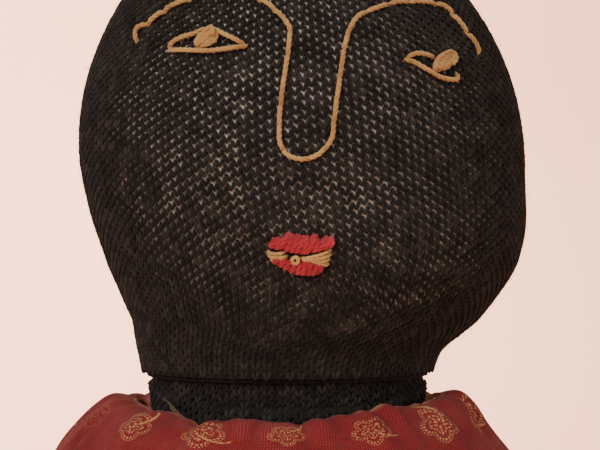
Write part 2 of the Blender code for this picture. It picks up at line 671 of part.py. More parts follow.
def main():
    clear_scene()
    make_head_knit()
    make_head_stuffing()
    make_crown_gather()
    make_brow_and_nose()
    make_eyes()
    make_mouth()
    make_neck()
    make_body_knit()
    make_body_stuffing()
    make_base()
    make_dress()
    make_arm(-1, "right")
    make_arm(1, "left")


main()
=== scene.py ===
"""The looks of a stuffed knit doll in a calico dress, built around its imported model.

Every class below makes one sub-assembly: the stitched stockings and their filling, the embroidered
face, the dress, the sleeves, the threads and the plain studio. Metres, +Z up, the face towards -Y.
"""

import json
import logging
import math
from collections.abc import Callable
from dataclasses import dataclass, field
from enum import Enum

import bmesh
import bpy
import numpy as np
from mathutils import Matrix, Vector


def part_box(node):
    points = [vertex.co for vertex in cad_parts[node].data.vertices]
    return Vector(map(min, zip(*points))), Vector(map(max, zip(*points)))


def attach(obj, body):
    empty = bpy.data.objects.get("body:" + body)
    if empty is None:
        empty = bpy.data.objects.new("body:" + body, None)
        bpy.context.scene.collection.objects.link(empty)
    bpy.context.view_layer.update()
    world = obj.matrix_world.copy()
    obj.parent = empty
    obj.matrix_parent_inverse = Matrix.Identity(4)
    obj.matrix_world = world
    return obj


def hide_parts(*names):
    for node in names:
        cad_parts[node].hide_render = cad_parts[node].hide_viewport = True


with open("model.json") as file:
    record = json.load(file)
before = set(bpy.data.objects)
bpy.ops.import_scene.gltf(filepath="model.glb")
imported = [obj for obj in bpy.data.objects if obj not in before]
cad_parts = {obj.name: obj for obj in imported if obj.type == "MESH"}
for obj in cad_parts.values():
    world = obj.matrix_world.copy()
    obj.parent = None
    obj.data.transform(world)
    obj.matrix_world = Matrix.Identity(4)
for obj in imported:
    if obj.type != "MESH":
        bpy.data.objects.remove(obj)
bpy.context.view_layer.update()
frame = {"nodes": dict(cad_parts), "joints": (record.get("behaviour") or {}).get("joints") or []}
PIVOT = Vector(frame["joints"][0]["pos_m"])
SHOULDER = Vector(next(j for j in frame["joints"] if j["name"] == "left_arm_raise")["pos_m"])
TURN = 2 * math.pi
log = logging.getLogger("doll")


class Slot(str, Enum):
    """The record's material slots."""

    BLACK_KNIT = "black_knit"
    CREAM_STUFFING = "cream_stuffing"
    TAN_YARN = "tan_yarn"
    RED_YARN = "red_yarn"
    STRAW_YARN = "straw_yarn"
    BLACK_THREAD = "black_thread"
    RED_CALICO = "red_calico"


class Side(Enum):
    """The doll's own right and left, as the sign of X."""

    RIGHT = -1
    LEFT = 1


# --- Node trees ---


class Graph:
    """Adds nodes to one tree and joins them, so that a finish reads from top to bottom."""

    def __init__(self, tree: bpy.types.NodeTree) -> None:
        """Keeps the tree.

        Args:
            tree: A shader or geometry node tree.
        """
        self.tree = tree

    def feed(self, socket: bpy.types.NodeSocket, value: object) -> None:
        """Links a socket into another, or sets its value.

        Args:
            socket: The input to fill.
            value: Another node's output socket, or a plain value.
        """
        if isinstance(value, bpy.types.NodeSocket):
            self.tree.links.new(value, socket)
        else:
            socket.default_value = value

    def node(self, kind: str, inputs: dict | None = None, **settings: object) -> bpy.types.Node:
        """Adds one node.

        Args:
            kind: Blender's name for the node's type.
            inputs: Values or sockets by input name or number.
            settings: The node's own properties.

        Returns:
            The new node.
        """
        made = self.tree.nodes.new(kind)
        for name, value in settings.items():
            setattr(made, name, value)
        for key, value in (inputs or {}).items():
            self.feed(made.inputs[key], value)
        return made

    def math(self, operation: str, *values: object, clamp: bool = False) -> bpy.types.NodeSocket:
        """Returns the output of a Math node on one to three values."""
        made = self.node("ShaderNodeMath", dict(enumerate(values)), operation=operation, use_clamp=clamp)
        return made.outputs[0]

    def vector(self, operation: str, *values: object, out: int = 0) -> bpy.types.NodeSocket:
        """Returns one output of a Vector Math node."""
        return self.node("ShaderNodeVectorMath", dict(enumerate(values)), operation=operation).outputs[out]

    def mix(self, share: object, low: object, high: object, blend: str = "MIX") -> bpy.types.NodeSocket:
        """Returns a colour between two, by a share from 0 to 1."""
        made = self.node("ShaderNodeMix", {0: share, 6: low, 7: high}, data_type="RGBA", blend_type=blend)
        return made.outputs[2]

    def band(self, value: object, low: object, high: object, out_low: float = 0.0,
             out_high: float = 1.0) -> bpy.types.NodeSocket:
        """Returns the value eased from its range onto another range.

        Args:
            value: What is graded.
            low: Where the band starts.
            high: Where it ends.
            out_low: The result at its start.
            out_high: The result at its end.

        Returns:
            The graded value.
        """
        made = self.node("ShaderNodeMapRange", {0: value, 1: low, 2: high, 3: out_low, 4: out_high},
                         interpolation_type="SMOOTHSTEP")
        return made.outputs[0]

    def noise(self, where: object, scale: float, detail: float = 3.0, roughness: float = 0.6,
              out: int = 0) -> bpy.types.NodeSocket:
        """Returns a Noise texture's factor, or its colour with out=1.

        Args:
            where: The place it is read at.
            scale: How fine it is.
            detail: How many finer layers it adds.
            roughness: How strong those layers are.
            out: 0 for the factor, 1 for the colour.

        Returns:
            The noise's socket.
        """
        made = self.node("ShaderNodeTexNoise", {"Vector": where, "Scale": scale, "Detail": detail,
                                                "Roughness": roughness})
        return made.outputs[out]


def shader_group(name: str, inputs: list[tuple], outputs: list[tuple],
                 build: Callable[[Graph, dict], dict]) -> bpy.types.NodeTree:
    """Makes a shader node group once.

    Args:
        name: The group's name.
        inputs: (name, socket type, default) for each input.
        outputs: (name, socket type) for each output.
        build: Called with the graph and the inputs by name, gives the outputs by name.

    Returns:
        The group's tree.
    """
    if name in bpy.data.node_groups:
        return bpy.data.node_groups[name]
    tree = bpy.data.node_groups.new(name, "ShaderNodeTree")
    for label, kind, value in inputs:
        tree.interface.new_socket(label, in_out="INPUT", socket_type=kind).default_value = value
    for label, kind in outputs:
        tree.interface.new_socket(label, in_out="OUTPUT", socket_type=kind)
    graph = Graph(tree)
    entry, leave = graph.node("NodeGroupInput"), graph.node("NodeGroupOutput")
    for label, socket in build(graph, {label: entry.outputs[label] for label, _, _ in inputs}).items():
        tree.links.new(socket, leave.inputs[label])
    return tree


VECTOR, FLOAT, COLOUR = "NodeSocketVector", "NodeSocketFloat", "NodeSocketColor"


def fibre_group() -> bpy.types.NodeTree:
    """Returns the group for spun fibre: a patchy colour with stray light hairs, and a fine relief.

    Returns:
        The shared node group.
    """

    def build(g: Graph, at: dict) -> dict:
        """Joins the nodes of the spun fibre.

        Args:
            g: The group's graph.
            at: Its inputs by name.

        Returns:
            Its outputs by name.
        """
        fine = g.noise(at["Vector"], 1.0, 4.0, 0.7)
        fine_at = g.vector("SCALE", at["Vector"], (0, 0, 0), (0, 0, 0))
        g.feed(fine_at.node.inputs["Scale"], at["Fineness"])
        g.feed(fine.node.inputs["Vector"], fine_at)
        broad = g.noise(at["Vector"], 180.0, 3.0, 0.55)
        hairs = g.band(fine, 0.56, 0.74)
        patch = g.mix(g.band(broad, 0.3, 0.7), at["Dark"], at["Light"])
        return {"Colour": g.mix(g.math("MULTIPLY", hairs, at["Hairs"]), patch, at["Hair Colour"]),
                "Height": fine}

    return shader_group("spun_fibre", [
        ("Vector", VECTOR, (0, 0, 0)), ("Fineness", FLOAT, 2600.0), ("Hairs", FLOAT, 0.5),
        ("Dark", COLOUR, (0, 0, 0, 1)), ("Light", COLOUR, (1, 1, 1, 1)),
        ("Hair Colour", COLOUR, (1, 1, 1, 1)),
    ], [("Colour", COLOUR), ("Height", FLOAT)], build)


def weave_group() -> bpy.types.NodeTree:
    """Returns the group for plain weave on a UV map in metres: its relief and the shade between threads.

    Returns:
        The shared node group.
    """

    def build(g: Graph, at: dict) -> dict:
        """Joins the nodes of the plain weave.

        Args:
            g: The group's graph.
            at: Its inputs by name.

        Returns:
            Its outputs by name.
        """
        count = g.math("DIVIDE", TURN / 2, at["Pitch"])
        split = g.node("ShaderNodeSeparateXYZ", {0: at["Vector"]})
        slub = g.math("MULTIPLY", g.math("SUBTRACT", g.noise(at["Vector"], 900.0, 2.0), 0.5), 2.2)
        across = g.math("ADD", g.math("MULTIPLY", split.outputs[0], count), slub)
        down = g.math("ADD", g.math("MULTIPLY", split.outputs[1], count), slub)
        warp = g.math("ABSOLUTE", g.math("SINE", across))
        weft = g.math("ABSOLUTE", g.math("SINE", down))
        over = g.band(g.math("MULTIPLY", g.math("SINE", g.math("ADD", across, TURN / 4)),
                             g.math("SINE", g.math("ADD", down, TURN / 4))), -0.5, 0.5)
        height = g.math("ADD", g.math("MULTIPLY", warp, over),
                        g.math("MULTIPLY", weft, g.math("SUBTRACT", 1.0, over)))
        return {"Height": height, "Gap": g.band(height, 0.75, 0.15)}

    return shader_group("plain_weave", [("Vector", VECTOR, (0, 0, 0)), ("Pitch", FLOAT, 0.0005)],
                        [("Height", FLOAT), ("Gap", FLOAT)], build)


def sprig_group() -> bpy.types.NodeTree:
    """Returns the group for the printed gold sprigs, as a mask on a UV map in metres.

    Returns:
        The shared node group.
    """

    def ring(g: Graph, radius: object, at: object, half: float) -> bpy.types.NodeSocket:
        """Returns a thin line where a radius equals a size."""
        off = g.math("ABSOLUTE", g.math("SUBTRACT", radius, at))
        return g.band(off, half, 0.45 * half)

    def beads(g: Graph, angle: object, count: float, fill: float) -> bpy.types.NodeSocket:
        """Returns dots round a circle."""
        return g.band(g.math("SINE", g.math("MULTIPLY", angle, count)), -fill, 0.5 - fill)

    def build(g: Graph, at: dict) -> dict:
        """Joins the nodes of the printed sprigs.

        Args:
            g: The group's graph.
            at: Its inputs by name.

        Returns:
            Its outputs by name.
        """
        flat = g.node("ShaderNodeSeparateXYZ", {0: at["Vector"]})
        rise = g.math("DIVIDE", flat.outputs[1], g.math("MULTIPLY", at["Spacing"], 0.8))
        row = g.math("FLOOR", rise)
        along = g.math("ADD", g.math("DIVIDE", flat.outputs[0], at["Spacing"]),
                       g.math("MULTIPLY", g.math("FLOORED_MODULO", row, 2.0), 0.5))
        column = g.math("FLOOR", along)
        local = g.node("ShaderNodeCombineXYZ", {
            0: g.math("MULTIPLY", g.math("SUBTRACT", g.math("SUBTRACT", along, column), 0.5), at["Spacing"]),
            1: g.math("MULTIPLY", g.math("SUBTRACT", g.math("SUBTRACT", rise, row), 0.5),
                      g.math("MULTIPLY", at["Spacing"], 0.8))}).outputs[0]
        cell = g.node("ShaderNodeCombineXYZ", {0: column, 1: row}).outputs[0]
        chosen = g.node("ShaderNodeTexWhiteNoise", {"Vector": cell}, noise_dimensions="3D")
        chance = g.node("ShaderNodeSeparateColor", {0: chosen.outputs["Color"]})
        turned = g.node("ShaderNodeVectorRotate", {"Vector": local, "Angle": g.math(
            "MULTIPLY", chance.outputs[0], TURN)}, rotation_type="Z_AXIS")
        split = g.node("ShaderNodeSeparateXYZ", {0: turned.outputs[0]})
        x, y = split.outputs[0], split.outputs[1]
        size = g.math("MULTIPLY", at["Size"], g.math("MULTIPLY_ADD", chance.outputs[1], 0.35, 0.8))
        radius = g.math("SQRT", g.math("ADD", g.math("MULTIPLY", x, x), g.math("MULTIPLY", y, y)))
        radius = g.math("DIVIDE", radius, size)
        angle = g.math("ARCTAN2", y, x)
        lobes = g.math("ABSOLUTE", g.math("COSINE", g.math("MULTIPLY", angle, 2.5)))
        petal = g.math("MULTIPLY_ADD", lobes, 0.34, 0.62)
        outline = g.math("MULTIPLY", ring(g, radius, petal, 0.085), beads(g, angle, 34.0, 0.55))
        inner = g.math("MULTIPLY", ring(g, radius, g.math("MULTIPLY", petal, 0.6), 0.07),
                       beads(g, angle, 22.0, 0.45))
        heart = g.math("MULTIPLY", ring(g, radius, 0.2, 0.09), beads(g, angle, 6.0, 0.4))
        ray_wave = g.math("ABSOLUTE", g.math("SINE", g.math("MULTIPLY", angle, 2.5)))
        ray_line = g.math("MULTIPLY", radius, ray_wave)
        rays = g.math("MULTIPLY", g.band(ray_line, 0.1, 0.03), g.band(radius, 0.72, 0.6))
        rays = g.math("MULTIPLY", rays, g.band(radius, 0.18, 0.28))
        fringe = g.math("MULTIPLY", ring(g, radius, g.math("ADD", petal, 0.17), 0.07),
                        beads(g, angle, 46.0, 0.1))
        stem_at = g.vector("ADD", turned.outputs[0], (0.006, -0.001, 0))
        stem_radius = g.math("DIVIDE", g.vector("LENGTH", stem_at, out=1), size)
        stem = g.math("MULTIPLY", ring(g, stem_radius, 1.25, 0.075), g.band(y, -0.001, -0.002))
        stem = g.math("MULTIPLY", stem, g.band(radius, 1.75, 1.6))
        mask = outline
        for more in (inner, heart, rays, fringe, stem):
            mask = g.math("MAXIMUM", mask, more)
        worn = g.band(g.noise(at["Vector"], 1500.0, 3.0), 0.36, 0.5)
        kept = g.math("MULTIPLY_ADD", g.math("GREATER_THAN", chance.outputs[2], 0.3), 0.75, 0.25)
        return {"Mask": g.math("MULTIPLY", g.math("MULTIPLY", mask, worn), kept)}

    return shader_group("gold_sprigs", [("Vector", VECTOR, (0, 0, 0)), ("Spacing", FLOAT, 0.0215),
                                        ("Size", FLOAT, 0.0050)], [("Mask", FLOAT)], build)


# --- Finishes ---


class Finish:
    """A material made once and shared by every piece that names it."""

    name: str
    roughness: float
    sheen: float

    def material(self) -> bpy.types.Material:
        """Returns the material, made on first use.

        Returns:
            The material, the same one each time.
        """
        if self.name in bpy.data.materials and bpy.data.materials[self.name].get("doll_finish"):
            return bpy.data.materials[self.name]
        made = bpy.data.materials.new(self.name)
        made["doll_finish"] = True
        made.use_nodes = True
        graph = Graph(made.node_tree)
        shader = made.node_tree.nodes["Principled BSDF"]
        shader.inputs["Roughness"].default_value = self.roughness
        shader.inputs["Specular IOR Level"].default_value = 0.25
        shader.inputs["Sheen Weight"].default_value = self.sheen
        shader.inputs["Sheen Roughness"].default_value = 0.55
        self.dress(graph, shader)
        return made

    def dress(self, g: Graph, shader: bpy.types.Node) -> None:
        """Adds the finish's own nodes. The plain finish has none."""

    def wear(self, obj: bpy.types.Object) -> None:
        """Gives the finish to an object in place of what it had."""
        obj.data.materials.clear()
        obj.data.materials.append(self.material())


@dataclass(frozen=True)
class FibreFinish(Finish):
    """Spun yarn, thread or loose fibre."""

    name: str
    dark: tuple[float, float, float]
    light: tuple[float, float, float]
    hair: tuple[float, float, float]
    hairs: float = 0.5
    fineness: float = 2600.0
    relief: float = 0.00012
    roughness: float = 0.92
    sheen: float = 0.25
    shaded: bool = False

    def dress(self, g: Graph, shader: bpy.types.Node) -> None:
        """Adds mottled fibre, and each stitch's own shade where the piece carries one.

        Args:
            g: The material's graph.
            shader: The shader that the nodes feed.
        """
        where = g.node("ShaderNodeTexCoord").outputs["Object"]
        fibre = g.node("ShaderNodeGroup", node_tree=fibre_group())
        for label, value in (("Vector", where), ("Fineness", self.fineness), ("Hairs", self.hairs),
                             ("Dark", (*self.dark, 1)), ("Light", (*self.light, 1)),
                             ("Hair Colour", (*self.hair, 1))):
            g.feed(fibre.inputs[label], value)
        colour = fibre.outputs["Colour"]
        if self.shaded:
            shade = g.node("ShaderNodeAttribute", attribute_name="shade").outputs["Fac"]
            lift = g.mix(0.4, colour, (*self.hair, 1))
            colour = g.mix(g.band(shade, 0.5, 1.3), colour, lift)
        bump = g.node("ShaderNodeBump", {"Height": fibre.outputs["Height"], "Distance": self.relief,
                                         "Strength": 0.8})
        g.feed(shader.inputs["Base Color"], colour)
        g.feed(shader.inputs["Normal"], bump.outputs[0])


@dataclass(frozen=True)
class CalicoFinish(Finish):
    """Red cotton with a fine weave, small gold sprigs, faded patches and a rubbed neckline."""

    name: str = "red_calico_cloth"
    ground: tuple[float, float, float] = (0.33, 0.029, 0.032)
    faded: tuple[float, float, float] = (0.46, 0.075, 0.073)
    shadow: tuple[float, float, float] = (0.14, 0.011, 0.015)
    gold: tuple[float, float, float] = (0.76, 0.43, 0.18)
    rubbed: tuple[float, float, float] = (0.50, 0.22, 0.15)
    thread_pitch: float = 0.00058
    offset: tuple[float, float, float] = (0.0, 0.0023, 0.0)
    roughness: float = 0.9
    sheen: float = 0.05

    def dress(self, g: Graph, shader: bpy.types.Node) -> None:
        """Adds the weave, the print and the wear.

        Args:
            g: The material's graph.
            shader: The shader that the nodes feed.
        """
        cloth = g.node("ShaderNodeUVMap", uv_map="cloth").outputs[0]
        weave = g.node("ShaderNodeGroup", {}, node_tree=weave_group())
        g.feed(weave.inputs["Vector"], cloth)
        g.feed(weave.inputs["Pitch"], self.thread_pitch)
        print_at = g.node("ShaderNodeMapping", {"Vector": cloth, "Location": self.offset}).outputs[0]
        sprigs = g.node("ShaderNodeGroup", node_tree=sprig_group())
        g.feed(sprigs.inputs["Vector"], print_at)
        patch = g.band(g.noise(cloth, 55.0, 3.0), 0.35, 0.75)
        colour = g.mix(patch, (*self.ground, 1), (*self.faded, 1))
        colour = g.mix(g.band(weave.outputs["Height"], 0.25, 1.05), (*self.shadow, 1), colour)
        colour = g.mix(g.math("MULTIPLY", sprigs.outputs["Mask"], 0.85), colour, (*self.gold, 1))
        rub = g.node("ShaderNodeAttribute", attribute_name="wear").outputs["Fac"]
        rub = g.math("MULTIPLY", rub, g.band(g.noise(cloth, 420.0, 3.0), 0.32, 0.6), clamp=True)
        colour = g.mix(rub, colour, (*self.rubbed, 1))
        height = g.math("ADD", weave.outputs["Height"], g.math("MULTIPLY", sprigs.outputs["Mask"], 0.5))
        bump = g.node("ShaderNodeBump", {"Height": height, "Distance": 0.00018, "Strength": 0.8})
        g.feed(shader.inputs["Base Color"], colour)
        g.feed(shader.inputs["Normal"], bump.outputs[0])


BLACK_WOOL = FibreFinish("black_wool", (0.0100, 0.0086, 0.0079), (0.0240, 0.0200, 0.0180),
                         (0.105, 0.085, 0.072),
                         hairs=0.55, sheen=0.05, shaded=True)
BLACK_THREAD = FibreFinish("black_cotton", (0.006, 0.005, 0.0045), (0.014, 0.012, 0.011), (0.05, 0.045, 0.04),
                           hairs=0.3, sheen=0.1)
FILLING = FibreFinish("cream_filling", (0.42, 0.38, 0.32), (0.92, 0.88, 0.78), (0.96, 0.93, 0.87), hairs=0.5,
                      fineness=1400.0, relief=0.0005, sheen=0.1)
TAN_WOOL = FibreFinish("tan_wool", (0.48, 0.255, 0.080), (0.68, 0.41, 0.150), (0.84, 0.60, 0.30),
                       fineness=3600.0)
RED_WOOL = FibreFinish("red_wool", (0.42, 0.014, 0.028), (0.64, 0.040, 0.062), (0.84, 0.21, 0.22),
                       fineness=3200.0)
STRAW_WOOL = FibreFinish("straw_wool", (0.60, 0.34, 0.10), (0.80, 0.53, 0.20), (0.92, 0.72, 0.40),
                         fineness=3600.0)
FRAY = FibreFinish("frayed_cotton", (0.09, 0.065, 0.030), (0.20, 0.150, 0.078), (0.46, 0.38, 0.25), sheen=0.1)
CARD = FibreFinish("grey_card", (0.30, 0.21, 0.12), (0.42, 0.30, 0.18), (0.5, 0.4, 0.28), hairs=0.4,
                   fineness=1800.0, sheen=0.0)
GRIT = FibreFinish("grit_bag", (0.17, 0.15, 0.12), (0.36, 0.33, 0.28), (0.55, 0.52, 0.45), hairs=0.8,
                   fineness=900.0, relief=0.0008, sheen=0.0)


# --- Shapes ---


def through(points: list[tuple[float, float]], at: np.ndarray | float) -> np.ndarray:
    """A smooth curve through points that never overshoots them.

    Args:
        points: (x, y) in rising order of x.
        at: Where to read it.

    Returns:
        The curve's values.
    """
    x, y = np.array(points, float).T
    at = np.clip(np.asarray(at, float), x[0], x[-1])
    slope = np.diff(y) / np.diff(x)
    turn = np.zeros(len(x))
    same = slope[:-1] * slope[1:] > 0
    turn[1:-1][same] = 2 * slope[:-1][same] * slope[1:][same] / (slope[:-1][same] + slope[1:][same])
    turn[0], turn[-1] = slope[0], slope[-1]
    i = np.clip(np.searchsorted(x, at, side="right") - 1, 0, len(x) - 2)
    width = x[i + 1] - x[i]
    t = (at - x[i]) / width
    return (y[i] * (1 + 2 * t) * (1 - t) ** 2 + turn[i] * width * t * (1 - t) ** 2
            + y[i + 1] * t * t * (3 - 2 * t) + turn[i + 1] * width * t * t * (t - 1))


def smooth(share: np.ndarray | float) -> np.ndarray:
    """Eases a share from 0 to 1."""
    share = np.clip(share, 0, 1)
    return share * share * (3 - 2 * share)


@dataclass(frozen=True)
class HeadShape:
    """The head's outer surface, as sizes at a height above the neck crease."""

    height: float = 0.118
    half_width: float = 0.0555
    half_depth: float = 0.0505
    rim_height: float = 0.0008
    rim_radius: float = 0.0366
    widest_at: float = 0.44
    lean: float = 0.006

    def sizes(self, height: np.ndarray) -> tuple[np.ndarray, np.ndarray, np.ndarray]:
        """Returns (half width, half depth, sideways shift) at heights above the crease.

        Args:
            height: Heights above the crease.

        Returns:
            Half widths, half depths and sideways shifts.
        """
        height = np.asarray(height, float)
        widest = self.widest_at * self.height
        lean = [(0, 0), (0.04, 0.06), (0.12, 0.72), (0.24, 1), (0.44, 0.63), (0.79, 0.32), (1, 0.25)]
        shift = self.lean * through(lean, height / self.height)
        jaw = through([(0, 0), (0.08, 0.06), (0.19, 0.25), (0.35, 0.53), (0.54, 0.8), (0.77, 0.955), (1, 1)],
                      (height - self.rim_height) / (widest - self.rim_height))
        crown = np.sqrt(np.clip(1 - ((height - widest) / (self.height - widest)) ** 2, 0, 1))
        below = height < widest
        wide = np.where(below, self.rim_radius + jaw * (self.half_width - self.rim_radius),
                        self.half_width * crown)
        deep = np.where(below, self.rim_radius + jaw * (self.half_depth - self.rim_radius),
                        self.half_depth * crown)
        return wide, deep, shift

    def on_face(self, across: float, height: float, lift: float = 0.0) -> Vector:
        """A place on the front of the head.

        Args:
            across: From the neck's axis, towards the doll's left.
            height: Above the crease.
            lift: Outwards from the surface.

        Returns:
            The point in the doll's frame.
        """

        def surface(x: float, z: float) -> Vector:
            """Returns the point on the plain surface at a place across and a height."""
            wide, deep, shift = self.sizes(z)
            share = min(0.98, abs((x - float(shift)) / float(wide)))
            return Vector((x, -float(deep) * math.sqrt(1 - share * share), z))

        step = 0.0005
        here = surface(across, height)
        normal = (surface(across + step, height) - here).cross(surface(across, height + step) - here)
        return PIVOT + here + normal.normalized() * lift


@dataclass(frozen=True)
class Pinch:
    """A crease round a neck that opens towards the front and back, where the head's nod needs room."""

    centre: float
    radius: float
    depth: float
    narrow: float = 0.0010
    wide: float = 0.0069
    edge: float = 0.0016

    def share(self, angle: np.ndarray, height: np.ndarray) -> np.ndarray:
        """Returns the share of the radius that is left at an angle and a height."""
        half = self.narrow + (self.wide - self.narrow) * np.abs(np.sin(angle))
        inside = 1 - smooth((np.abs(height - self.centre) - half) / self.edge)
        return 1 - inside * self.depth / self.radius


class Turned:
    """A surface round an axis with an oval section, read by turn and by distance along its profile."""

    def __init__(self, wide: np.ndarray, deep: np.ndarray, height: np.ndarray,
                 shift: np.ndarray | float = 0.0, place: Matrix | None = None, lumps: float = 0.0,
                 pinch: "Pinch | None" = None) -> None:
        """Keeps the profile.

        Args:
            wide: Half widths along X, from one end of the profile to the other.
            deep: Half depths along Y.
            height: Heights along Z.
            shift: Sideways offsets along X.
            place: Turns and moves the whole surface into the doll's frame.
            lumps: Height of the uneven stuffing under the skin.
            pinch: A crease drawn into the surface.
        """
        self.wide, self.deep, self.height = (np.asarray(v, float) for v in (wide, deep, height))
        self.shift = np.broadcast_to(np.asarray(shift, float), self.wide.shape)
        self.place, self.lumps, self.pinch = place, lumps, pinch
        run = np.hypot(np.diff(0.5 * (self.wide + self.deep)), np.diff(self.height))
        self.run = np.concatenate([[0], np.cumsum(run)])
        self.length = float(self.run[-1])

    def radius(self, along: np.ndarray | float) -> np.ndarray:
        """Returns the mean radius at a distance along the profile."""
        return np.interp(along, self.run, 0.5 * (self.wide + self.deep))

    def flat(self, turn: np.ndarray, along: np.ndarray) -> np.ndarray:
        """Returns points before the stuffing's lumps.

        Args:
            turn: Shares of a turn round the axis.
            along: Distances along the profile.

        Returns:
            The points.
        """
        wide, deep, height, shift = (np.interp(along, self.run, v)
                                     for v in (self.wide, self.deep, self.height, self.shift))
        a = TURN * np.asarray(turn)
        share = 1.0 if self.pinch is None else self.pinch.share(a, height)
        points = np.stack([shift + wide * share * np.cos(a), deep * share * np.sin(a), height], axis=-1)
        if self.place is not None:
            matrix = np.array(self.place)
            points = points @ matrix[:3, :3].T + matrix[:3, 3]
        return points

    def normal(self, turn: np.ndarray, along: np.ndarray) -> tuple[np.ndarray, np.ndarray]:
        """Returns unit vectors out of the surface and up along it.

        Args:
            turn: Shares of a turn round the axis.
            along: Distances along the profile.

        Returns:
            Unit vectors out of the surface, and up along it.
        """
        step = 0.0004
        low, high = np.maximum(along - step, 0), np.minimum(along + step, self.length)
        up = self.flat(turn, high) - self.flat(turn, low)
        around = self.flat(turn + 0.001, along) - self.flat(turn - 0.001, along)
        out = np.cross(around, up)
        return (out / np.maximum(np.linalg.norm(out, axis=-1, keepdims=True), 1e-12),
                up / np.maximum(np.linalg.norm(up, axis=-1, keepdims=True), 1e-12))

    def at(self, turn: np.ndarray, along: np.ndarray, inset: float = 0.0) -> np.ndarray:
        """Returns points on the lumpy surface, or a distance under it.

        Args:
            turn: Shares of a turn round the axis.
            along: Distances along the profile.
            inset: How far under the surface.

        Returns:
            The points.
        """
        out, _ = self.normal(turn, along)
        swell = (np.sin(3 * TURN * turn + 40 * along) + np.sin(5 * TURN * turn - 75 * along + 2)
                 + np.sin(110 * along + 2 * np.sin(2 * TURN * turn)))
        fade = smooth(along / 0.015) * smooth((self.length - along) / 0.015)
        return self.flat(turn, along) + out * (self.lumps / 3 * swell * fade - inset)[..., None]


def mesh_object(name: str, points: np.ndarray, faces: list, finish: Finish | None = None,
                uv: np.ndarray | None = None) -> bpy.types.Object:
    """Makes a smooth mesh object at the origin.

    Args:
        name: The piece's name.
        points: Its corners.
        faces: Corner numbers of each face.
        finish: What it is made of.
        uv: A place on the flat cloth for each corner.

    Returns:
        The object, linked to the scene.
    """
    mesh = bpy.data.meshes.new(name)
    mesh.from_pydata([tuple(p) for p in points], [], [tuple(int(i) for i in f) for f in faces])
    mesh.shade_smooth()
    if uv is not None:
        layer = mesh.uv_layers.new(name="cloth")
        corners = np.zeros(len(mesh.loops), np.int32)
        mesh.loops.foreach_get("vertex_index", corners)
        layer.data.foreach_set("uv", uv[corners].astype(np.float32).ravel())
    made = bpy.data.objects.new(name, mesh)
    bpy.context.scene.collection.objects.link(made)
    if finish is not None:
        finish.wear(made)
    return made


def lattice_faces(rows: int, columns: int, loop: bool = True) -> list[tuple[int, int, int, int]]:
    """Returns the quads of a grid of points, row by row, joined round when it loops.

    Args:
        rows: How many rows of points.
        columns: How many points in a row.
        loop: Whether each row closes on itself.

    Returns:
        The corner numbers of each quad.
    """
    faces = []
    for row in range(rows - 1):
        for column in range(columns if loop else columns - 1):
            after = (column + 1) % columns
            faces.append((row * columns + column, row * columns + after,
                          (row + 1) * columns + after, (row + 1) * columns + column))
    return faces


def turned_solid(name: str, rings: list[np.ndarray], finish: Finish) -> bpy.types.Object:
    """Makes a closed solid over rings of points, with a pole at each end.

    Args:
        name: The piece's name.
        rings: Rows of points with the same count.
        finish: What it is made of.

    Returns:
        The object.
    """
    count = len(rings[0])
    points = np.concatenate([*rings, [rings[0].mean(0)], [rings[-1].mean(0)]])
    faces = lattice_faces(len(rings), count)
    start, end, last = len(points) - 2, len(points) - 1, (len(rings) - 1) * count
    for column in range(count):
        after = (column + 1) % count
        faces.append((start, after, column))
        faces.append((end, last + column, last + after))
    return mesh_object(name, points, faces, finish)


# --- Grown detail ---


def geometry_tree(name: str, inputs: list[tuple]) -> tuple[bpy.types.NodeTree, Graph, bpy.types.Node]:
    """Starts a geometry node tree that takes a mesh, named sizes and a material.

    Args:
        name: The tree's name.
        inputs: (name, socket type, default) for each size.

    Returns:
        The tree, its graph and its input node.
    """
    tree = bpy.data.node_groups.new(name, "GeometryNodeTree")
    tree.interface.new_socket("Geometry", in_out="INPUT", socket_type="NodeSocketGeometry")
    for label, kind, value in inputs:
        tree.interface.new_socket(label, in_out="INPUT", socket_type=kind).default_value = value
    tree.interface.new_socket("Material", in_out="INPUT", socket_type="NodeSocketMaterial")
    tree.interface.new_socket("Geometry", in_out="OUTPUT", socket_type="NodeSocketGeometry")
    graph = Graph(tree)
    return tree, graph, graph.node("NodeGroupInput")


def end_tree(g: Graph, entry: bpy.types.Node, geometry: bpy.types.NodeSocket) -> None:
    """Ends a tree in real, smooth, dressed geometry.

    Args:
        g: The tree's graph.
        entry: Its input node.
        geometry: What the tree made.
    """
    real = g.node("GeometryNodeRealizeInstances", {0: geometry}).outputs[0]
    soft = g.node("GeometryNodeSetShadeSmooth", {"Geometry": real}).outputs[0]
    dressed = g.node("GeometryNodeSetMaterial", {"Geometry": soft, "Material": entry.outputs["Material"]})
    g.node("NodeGroupOutput", {0: dressed.outputs[0]})


